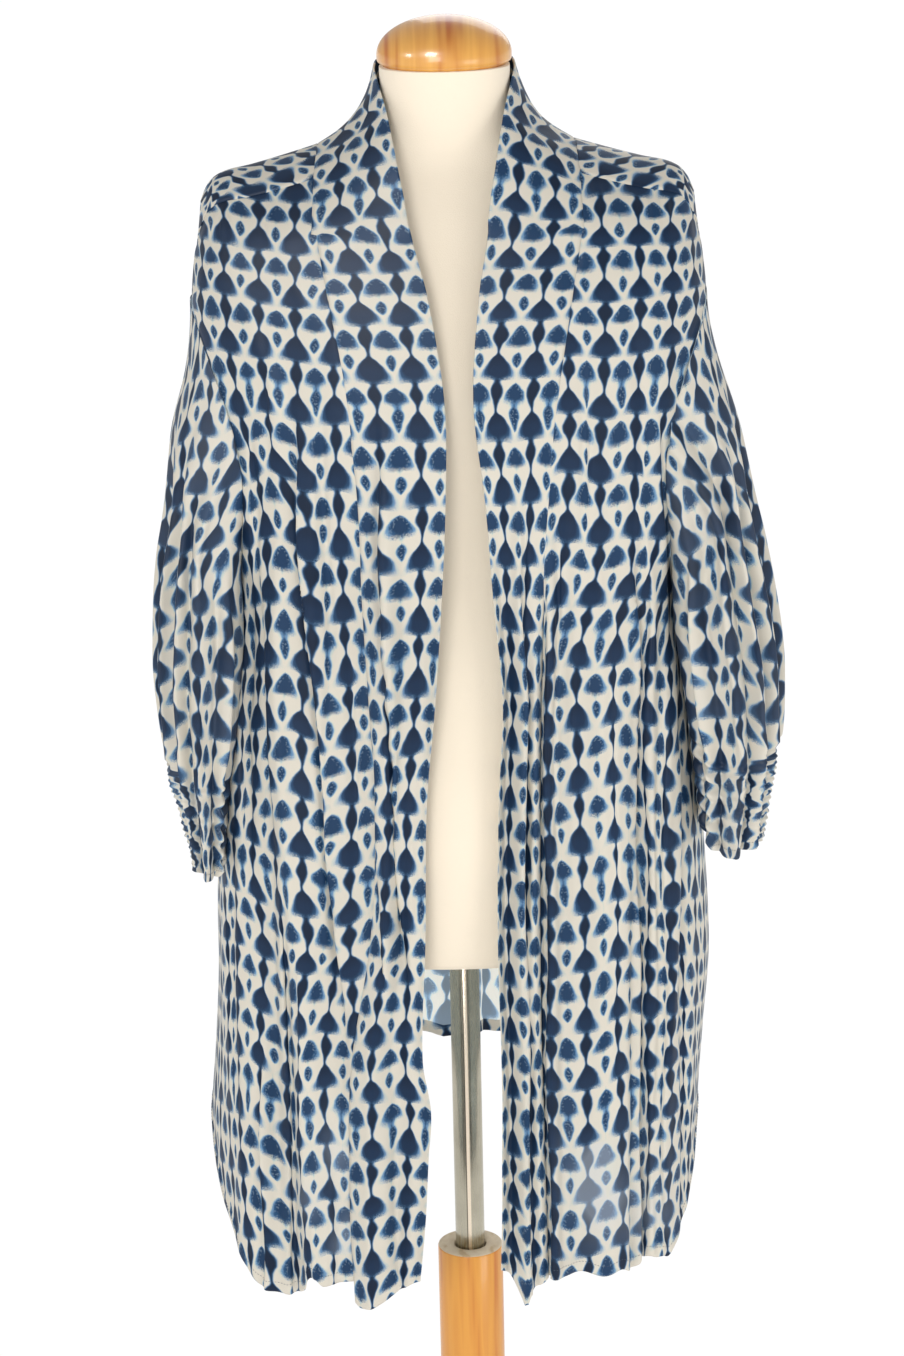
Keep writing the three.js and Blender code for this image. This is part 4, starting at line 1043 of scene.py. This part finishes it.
def sleeve_grid(side, count=200, rows_top=84, rows_ruche=116):
    """Points of a sleeve, their ways out, print places and heights above the hem. The rings start at
    the underarm seam, so that the print is unbroken over the outer side."""

    def from_underarm(ring, axis=1):
        return np.roll(ring, -(count // 2), axis)

    def closed(ring):
        return np.concatenate([ring, ring[:, :1]], 1)

    around = np.arange(count) / count * 2.0
    top_z = ARMHOLE_LOW + (ARMHOLE_HIGH - ARMHOLE_LOW) * (1 + np.cos(math.pi * around)) / 2
    start = {}
    for face in ("front", "back"):
        angle = math.pi / 2 - armhole_cut(face, top_z)
        start[face] = on_body(side, face, angle, fall_to(side, angle, top_z))
    on_front = (around <= 1.0)[:, None]
    seam, seam_out = [np.where(on_front, front, back) for front, back in zip(start["front"], start["back"])]
    seam = seam + seam_out * SLEEVE_PROUD
    hem = sleeve_hem[side](around)
    ruched = hem + RUCHE_HEIGHT
    share = np.linspace(0, 1, rows_top, endpoint=False) ** 1.15
    share = np.concatenate([share, np.ones(rows_ruche)])[:, None]
    below = np.concatenate([np.zeros(rows_top), np.linspace(0, 1, rows_ruche)])[:, None]
    z = np.where(share < 1, mix(seam[:, 2], ruched, share), ruched - below * RUCHE_HEIGHT)
    blend = 1 - (1 - np.clip(share / SLEEVE_BLEND, 0, 1)) ** 2
    plain = mix(seam, sleeve_tube(side, around, z), blend[..., None])
    plain[..., 2] = z
    turn = math.pi * around
    out = unit(np.stack([side * np.cos(turn), -0.6 * np.sin(turn), 0 * turn], -1))
    off = np.minimum(around, 2 - around)

    # folds of the hanging tube, which lie over towards the back
    lift, lean = np.zeros((2, *z.shape))
    for low_place, high_place, width, height, low, high in SLEEVE_FOLDS[side]:
        crest = mix(low_place, high_place, (z - low) / (high - low))
        crest = crest + 0.006 * np.sin(z / 29 + low_place * 9)
        gap = np.abs(around - crest)
        gap = np.minimum(gap, 2 - gap)
        pull = ease((high - z) / 110) * ease((z - low) / 40 + 0.4) * bell(gap / width)
        lift = lift + 1.35 * height * pull
        lean = lean + max(0.0, height) * pull * (1.0 if low_place < 1 else -1.0)
    lift = lift + sway(np.broadcast_to(np.sin(turn) * 80, z.shape), z, 70 + side) * 0.9

    # gathers of the elastic channel, and the fan of small folds that they throw beside it
    rng = np.random.default_rng(90 + side)
    knots = np.arange(RUCHE_GATHERS + 2)
    wander = 0.45 * np.sin(off * 9 + rng.uniform(0, 6)) + 0.2 * np.sin(off * 19 + below * 9)
    phase = below * RUCHE_GATHERS + wander * ease(off / 0.08)
    tall = np.interp(phase, knots, rng.uniform(0.6, 1.3, len(knots)))
    wide = np.interp(phase, knots, rng.uniform(0.34, 0.62, len(knots)))
    ridge_line = (0.5 + 0.5 * np.cos(2 * math.pi * phase)) ** 1.4
    gather = 1.9 * tall * (ridge_line - 0.35) * bell(off / wide) * mix(0.6, 1, ease(off / 0.12))
    fan = 3.0 * np.sin(2 * math.pi * (phase / 2.7 + 1.6 * off)) * bell((off - 0.62) / 0.16)
    first = {LEFT: 5.0, RIGHT: 1.5}[side] * bell((below * RUCHE_HEIGHT - 16) / 13)
    ruche = (gather + fan + first * bell(off / RUCHE_WIDE)) * ease(below * 14)
    flat = np.where(share < 1, 1, 1 - 0.75 * bell(off / RUCHE_WIDE))
    lift, lean = lift * flat + ruche, lean * flat

    # nothing is raised on the side that lies against the body
    inner_side = ease((around - 0.72) / 0.1) * ease((1.36 - around) / 0.1)
    lift = np.where(lift > 0, lift * (1 - inner_side), lift)
    lift = lift + turned_hem(z - hem, depth=SLEEVE_HEM_DEPTH, rise=0.4)
    way = unit(np.roll(plain, -1, 1) - np.roll(plain, 1, 1))
    lean = lean * (1 - inner_side) * ease((1 - share) * 9)
    at = from_underarm(plain + out * lift[..., None] + way * lean[..., None])
    z = closed(at)[..., 2]

    # the print's place across: how far round the section a point of the unfolded tube lies from its
    # outer line, and the cloth that the folds hide on the way
    smooth_ring = closed(from_underarm(plain))
    start, half_thick = sleeve_section(side, smooth_ring[..., 2])
    turned = np.arctan2(np.abs(smooth_ring[..., 1] - SLEEVE_MIDDLE_Y) / SLEEVE_HALF_DEPTH,
                        (side * smooth_ring[..., 0] - start - half_thick) / half_thick)
    facing = np.where(np.arange(count + 1) < count - count // 2, -1.0, 1.0)
    place = facing * turned / math.pi
    hidden = np.zeros(place.shape)
    for low_place, high_place, width, height, low, high in SLEEVE_FOLDS[side]:
        crest = mix(low_place, high_place, (z - low) / (high - low))
        crest = np.where(crest > 1, crest - 2, crest)
        pull = 1.1 * abs(height) * ease((high - z) / 140)
        hidden += pull * (np.tanh((place - crest) / (0.5 * width)) + np.tanh(crest / (0.5 * width))) / 2
    u = side * (facing * np.interp(turned, section_turn, section_arc) + hidden)
    v = -np.interp(-z, -plain[:, 0, 2], along(plain, 0)[:, 0])

    # each gather hides cloth in the dip beside it
    around = np.append(from_underarm(around, 0), 1.0)
    near = bell(np.minimum(around, 2 - around) / 0.34)
    dips = closed(from_underarm(phase - np.sin(2 * math.pi * phase) / (2 * math.pi)))
    v = v - 14.0 * dips * near
    u = u * (1 - 0.5 * near * ease(dips / 3)) + 5.0 * np.sin(1.9 * dips) * near * ease(dips)
    v = v + 7.0 * np.sin(u / 23 + v / 170 + side) + 4.0 * np.sin(u / 9 - v / 90)
    out = np.broadcast_to(from_underarm(out, 0), at.shape)
    return at, out, np.stack([u, v], -1), at[..., 2] - at[-1:, :, 2]


for side, word in SIDES.items():
    at, out, uv, up = sleeve_grid(side)
    thin = np.full(at.shape[:2], SLEEVE_THIN)
    mesh = cloth_mesh(f"sleeve_{word}_tube", at, uv, closed=True, thin=thin)
    face_out(mesh, (-side, 0, 0), face=0)
    tube = cloth_piece(f"sleeve_{word}_tube", mesh)
    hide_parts(f"sleeve_{word}")
    sewn = hem_stitches(f"sleeve_{word}_hem_stitches", at[::-1], out[::-1], up[::-1],
                        depth=SLEEVE_HEM_DEPTH + STITCH_INSET, closed=True)

# ----------------------------------------------
# Torso: a padded display torso without arms, covered in one smooth layer of cream cotton jersey
# that is stretched over the neck and down to a stiff rounded rim.
# ----------------------------------------------
# half widths, and depths of the front and the back, by height
torso_size = columns("z width front back", [
    (716, 152, 86, 94), (721, 164, 97, 106), (750, 170, 103, 114), (850, 173, 108, 120),
    (950, 150, 98, 104), (1050, 130, 90, 88), (1130, 146, 99, 90), (1215, 160, 109, 92),
    (1290, 166, 96, 90), (1340, 171, 76, 78), (1371.4, 162, 60, 62), (1391.4, 124, 50, 55),
    (1404.4, 88, 47, 51), (1417, 64, 47, 49), (1440, 53.6, 48, 49), (1469, 53.2, 50, 50),
])
TORSO_LOW, TORSO_POWER = 716.0, 0.85       # a power under 1 makes the section squarer than an ellipse
SOCKET_RADIUS, SOCKET_DEPTH = 13.4, 60.0


def jersey():
    """Fine cotton knit: tiny wales and courses, a little fuzz, slightly uneven cream."""
    s = Shader("cream_jersey")
    coord = s.node("ShaderNodeTexCoord").outputs["Object"]
    patch = s.noise(coord, 7.0, 3.0)
    colour = s.blend(s.product(patch, 0.35), srgb(251, 237, 215), srgb(248, 233, 209))
    s.bump(s.noise(s.stretched(coord, (1.0, 1.0, 0.6)), 1400.0, 1.0), 0.0004, 0.5)
    return s.surface(Base_Color=colour, Roughness=0.9, Specular_IOR_Level=0.2, Sheen_Weight=0.15)


def ring_mesh(name, rings):
    """A closed body from rings of points, each end brought together in a point."""
    count = rings.shape[1]
    points = rings.reshape(-1, 3).tolist()
    faces = []
    for r in range(len(rings) - 1):
        for c in range(count):
            d = (c + 1) % count
            faces.append((r * count + c, r * count + d, (r + 1) * count + d, (r + 1) * count + c))
    for ring, order in ((0, -1), (len(rings) - 1, 1)):
        centre = len(points)
        points.append(rings[ring].mean(0).tolist())
        for c in range(count):
            pair = (ring * count + c, ring * count + (c + 1) % count)
            faces.append((*pair[::order], centre))
    mesh = bpy.data.meshes.new(name)
    mesh.from_pydata([[v * MM for v in p] for p in points], [], faces)
    edit = bmesh.new()
    edit.from_mesh(mesh)
    bmesh.ops.recalc_face_normals(edit, faces=edit.faces)
    edit.to_mesh(mesh)
    edit.free()
    mesh.shade_smooth()
    return mesh


def round_ring(turn, radius, z):
    return np.stack([radius * np.sin(turn), -radius * np.cos(turn), 0 * turn + z], -1)


def torso_rings(count=112):
    """The socket for the pole, then the torso from its rim up to the neck."""
    turn = np.linspace(0, 2 * math.pi, count, endpoint=False)
    heights = np.concatenate([
        [716, 716.4, 717.2, 718.6, 721, 725, 732], np.linspace(742, 1360, 78),
        np.linspace(1364, 1462, 40), [1466, 1468, 1469],
    ])
    rings = [round_ring(turn, SOCKET_RADIUS, z) for z in (TORSO_LOW + SOCKET_DEPTH, TORSO_LOW + 0.5)]
    c = np.cos(turn)
    for z in heights:
        deep = np.where(c > 0, torso_size["front"](z), torso_size["back"](z))
        rings.append(np.stack([
            torso_size["width"](z) * np.sin(turn),
            -np.sign(c) * deep * np.abs(c) ** TORSO_POWER, 0 * turn + z], -1))
    return np.array(rings)


torso = add_object("jersey_torso", ring_mesh("jersey_torso", torso_rings()))
torso.data.materials.append(jersey())
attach(torso, "root")
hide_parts("form_torso")

# ----------------------------------------------
# Neck cap: turned pine, lacquered to a honey gloss, set on the neck with a thin dark joint.
# ----------------------------------------------
CAP_BASE, CAP_RADIUS, CAP_EDGE, CAP_RISE = 1469.3, 55.0, 9.0, 40.0
TURN_SIDES = 96


def pine(name, pale, dark, rough, coat, grain_scale, grain=(1.0, 0.5, 0.05)):
    """Pine whose grain runs where its scale is least: wide pale bands, narrow dark ones, fine pores."""
    s = Shader(name)
    coord = s.node("ShaderNodeTexCoord").outputs["Object"]
    bands = s.noise(s.stretched(coord, grain), grain_scale)
    late = s.ramp(s.math("PINGPONG", s.product(bands, 4.4), 1.0), [(0.0, 0), (0.4, 0.2), (1.0, 1)])
    pores = s.noise(s.stretched(coord, [0.03 if share < 0.1 else 1.0 for share in grain]), 620.0)
    s.bump(pores, 0.0002, 0.15)
    return s.surface(Base_Color=s.blend(s.product(pores, 0.22), s.blend(late, pale, dark), dark),
                     Roughness=rough, Coat_Weight=coat, Coat_Roughness=0.06)


def turned_piece(name, profile, material):
    """A turned piece from a profile of radius and height, in millimetres, ends on the axis."""
    turn = np.linspace(0, 2 * math.pi, TURN_SIDES, endpoint=False)
    rings = [round_ring(turn, radius, z) for radius, z in profile]
    piece = add_object(name, ring_mesh(name, np.array(rings)))
    piece.data.materials.append(material)
    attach(piece, "root")
    return piece


honey = pine("lacquered_pine", srgb(240, 178, 88), srgb(188, 98, 26), 0.3, 0.35, 62.0, (1.0, 0.04, 0.09))
dome = [(CAP_RADIUS - inwards, CAP_BASE + up) for inwards, up in (
    (15, 0), (5, 0), (5, 1.1), (2.4, 2.1), (0.8, 3.5), (0, 5.5))]
for steep in map(math.radians, range(0, 90, 5)):
    dome.append((CAP_RADIUS * math.cos(steep),
                 CAP_BASE + CAP_EDGE + (CAP_RISE - CAP_EDGE) * math.sin(steep)))
cap = turned_piece("turned_cap", dome, honey)
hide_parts("neck_cap")

# ----------------------------------------------
# Pole: plain drawn steel tube that slides in the post's bore and in the torso's socket.
# ----------------------------------------------
POLE_RADIUS, POLE_LOW, POLE_HIGH = 13.0, 239.3, 775.7


def drawn_steel():
    """Dull tube with fine scratches, and a painted highlight down its front: a bright stripe where the
    lamps are reflected towards the camera, edged on its left by a thin line of painted shade.
    """
    s = Shader("steel_tube")
    coord = s.node("ShaderNodeTexCoord").outputs["Object"]
    scratch = s.noise(s.stretched(coord, (1.0, 1.0, 0.02)), 900.0)
    colour = s.blend(s.noise(coord, 30.0, 3.0), srgb(196, 190, 172), srgb(146, 141, 125))
    parts = s.node("ShaderNodeSeparateXYZ", Vector=coord)
    # painted highlight: a narrow bright stripe on the half of the tube that faces the camera, with a thin
    # dark line of painted shade along its left edge
    beside = s.math("MULTIPLY_ADD", s.product(parts.outputs[0], 1000.0), 0.04, 0.5)
    seam = s.ramp(beside, [(0.0, 0), (0.42, 0), (0.45, 1), (0.54, 1), (0.57, 0)])
    edge = s.ramp(beside, [(0.0, 0), (0.39, 0), (0.42, 1), (0.45, 0)])
    front = s.math("LESS_THAN", parts.outputs[1], 0.0)
    colour = s.blend(s.product(edge, front), colour, srgb(58, 54, 48))
    colour = s.blend(s.product(seam, front), colour, srgb(238, 222, 200))
    s.bump(scratch, 0.0002, 0.1)
    return s.surface(Base_Color=colour, Metallic=1.0, Roughness=s.math("MULTIPLY_ADD", scratch, 0.2, 0.16))


pole = turned_piece("steel_pole", [
    (POLE_RADIUS - 0.6, POLE_LOW), (POLE_RADIUS, POLE_LOW + 0.6), (POLE_RADIUS, 500.0),
    (POLE_RADIUS, POLE_HIGH - 0.6), (POLE_RADIUS - 0.6, POLE_HIGH)], drawn_steel())
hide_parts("pole")

# ----------------------------------------------
# Post and foot: turned pine under amber lacquer. The post's bored top is left bare, and it stands
# in the middle of a plain round foot.
# ----------------------------------------------
POST_RADIUS, POST_TOP, BORE, BORE_DEPTH = 29.0, 419.0, 14.2, 180.0
FOOT_RADIUS, FOOT_THICK = 180.0, 24.0
AMBER = (srgb(232, 161, 64), srgb(198, 106, 26), 0.3, 0.35)
amber = pine("pine_post", *AMBER, 80.0)
amber_board = pine("pine_board", *AMBER, 34.0, (0.06, 1.0, 0.5))
bare = pine("bare_pine", srgb(238, 220, 194), srgb(210, 182, 144), 0.75, 0.0, 90.0)
post = turned_piece("turned_post", [
    (POST_RADIUS, FOOT_THICK + 0.3), (POST_RADIUS, 200.0), (POST_RADIUS, POST_TOP - 1.6),
    (POST_RADIUS - 0.5, POST_TOP - 0.5), (POST_RADIUS - 1.6, POST_TOP), (BORE + 0.8, POST_TOP),
    (BORE, POST_TOP - 0.8), (BORE, POST_TOP - BORE_DEPTH)], amber)
post.data.materials.append(bare)
for polygon in post.data.polygons:
    x, y, z = polygon.center
    if z > (POST_TOP - 0.45) * MM or math.hypot(x, y) < (BORE + 0.5) * MM:
        polygon.material_index = 1
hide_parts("post")

foot = turned_piece("turned_foot", [(FOOT_RADIUS - inwards, height) for inwards, height in (
    (2, 0.0), (0.6, 0.6), (0, 2.0), (0, FOOT_THICK - 7), (1.6, FOOT_THICK - 4.4),
    (5, FOOT_THICK - 2.4), (40, FOOT_THICK - 1.4), (138, FOOT_THICK))], amber_board)
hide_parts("foot")

# ----------------------------------------------
# Studio: a plain white floor, a bright sky and large soft lamps.
# ----------------------------------------------
FLOOR_HALF = 60.0
WHITE, BLACK = (1.0, 1.0, 1.0, 1.0), (0.0, 0.0, 0.0, 1.0)
LIGHT_FROM_SKY, SKY_SEEN_TOO = 0.52, 0.5
floor_mesh = bpy.data.meshes.new("floor")
floor_mesh.from_pydata([(-FLOOR_HALF, -FLOOR_HALF, 0), (FLOOR_HALF, -FLOOR_HALF, 0),
                        (FLOOR_HALF, FLOOR_HALF, 0), (-FLOOR_HALF, FLOOR_HALF, 0)], [], [(0, 1, 2, 3)])
floor = add_object("floor", floor_mesh)
floor.data.materials.append(Shader("floor_paint").surface(
    Base_Color=BLACK, Roughness=1.0, Specular_IOR_Level=0.0, Emission_Color=WHITE, Emission_Strength=1.02))

world = bpy.data.worlds.new("studio")
world.use_nodes = True
background = world.node_tree.nodes["Background"]
background.inputs["Color"].default_value = WHITE
strength = world.node_tree.nodes.new("ShaderNodeMath")
strength.operation = "MULTIPLY_ADD"
seen = world.node_tree.nodes.new("ShaderNodeLightPath").outputs["Is Camera Ray"]
world.node_tree.links.new(seen, strength.inputs[0])
strength.inputs[1].default_value, strength.inputs[2].default_value = SKY_SEEN_TOO, LIGHT_FROM_SKY
world.node_tree.links.new(strength.outputs[0], background.inputs["Strength"])
bpy.context.scene.world = world


def soft_lamp(name, place, target, size, power, diffuse=True):
    """A square lamp; without diffuse light it shows only as gloss."""
    lamp_data = bpy.data.lights.new(name, "AREA")
    lamp_data.shape = "RECTANGLE"
    lamp_data.size = lamp_data.size_y = size
    lamp_data.energy = power
    lamp = add_object(name, lamp_data)
    lamp.location = place
    lamp.rotation_euler = (Vector(target) - Vector(place)).to_track_quat("-Z", "Y").to_euler()
    lamp.visible_diffuse = diffuse


soft_lamp("key", (-1.0, -3.5, 1.7), (0.0, 0.0, 0.75), 1.3, 42.0)
soft_lamp("fill", (2.4, -2.3, 0.5), (0.2, 0.0, 0.55), 1.4, 20.0)
soft_lamp("left_gloss", (-1.0, -2.3, 2.7), (0.0, 0.0, 1.4), 0.9, 70.0, diffuse=False)
soft_lamp("side_gloss", (-2.9, -1.4, 2.4), (0.0, 0.0, 1.4), 0.5, 30.0, diffuse=False)
soft_lamp("behind", (0.6, 3.0, 2.6), (0.0, 0.0, 1.0), 2.0, 20.0)

view = bpy.context.scene.view_settings
view.view_transform = "Standard"
view.look = "None"
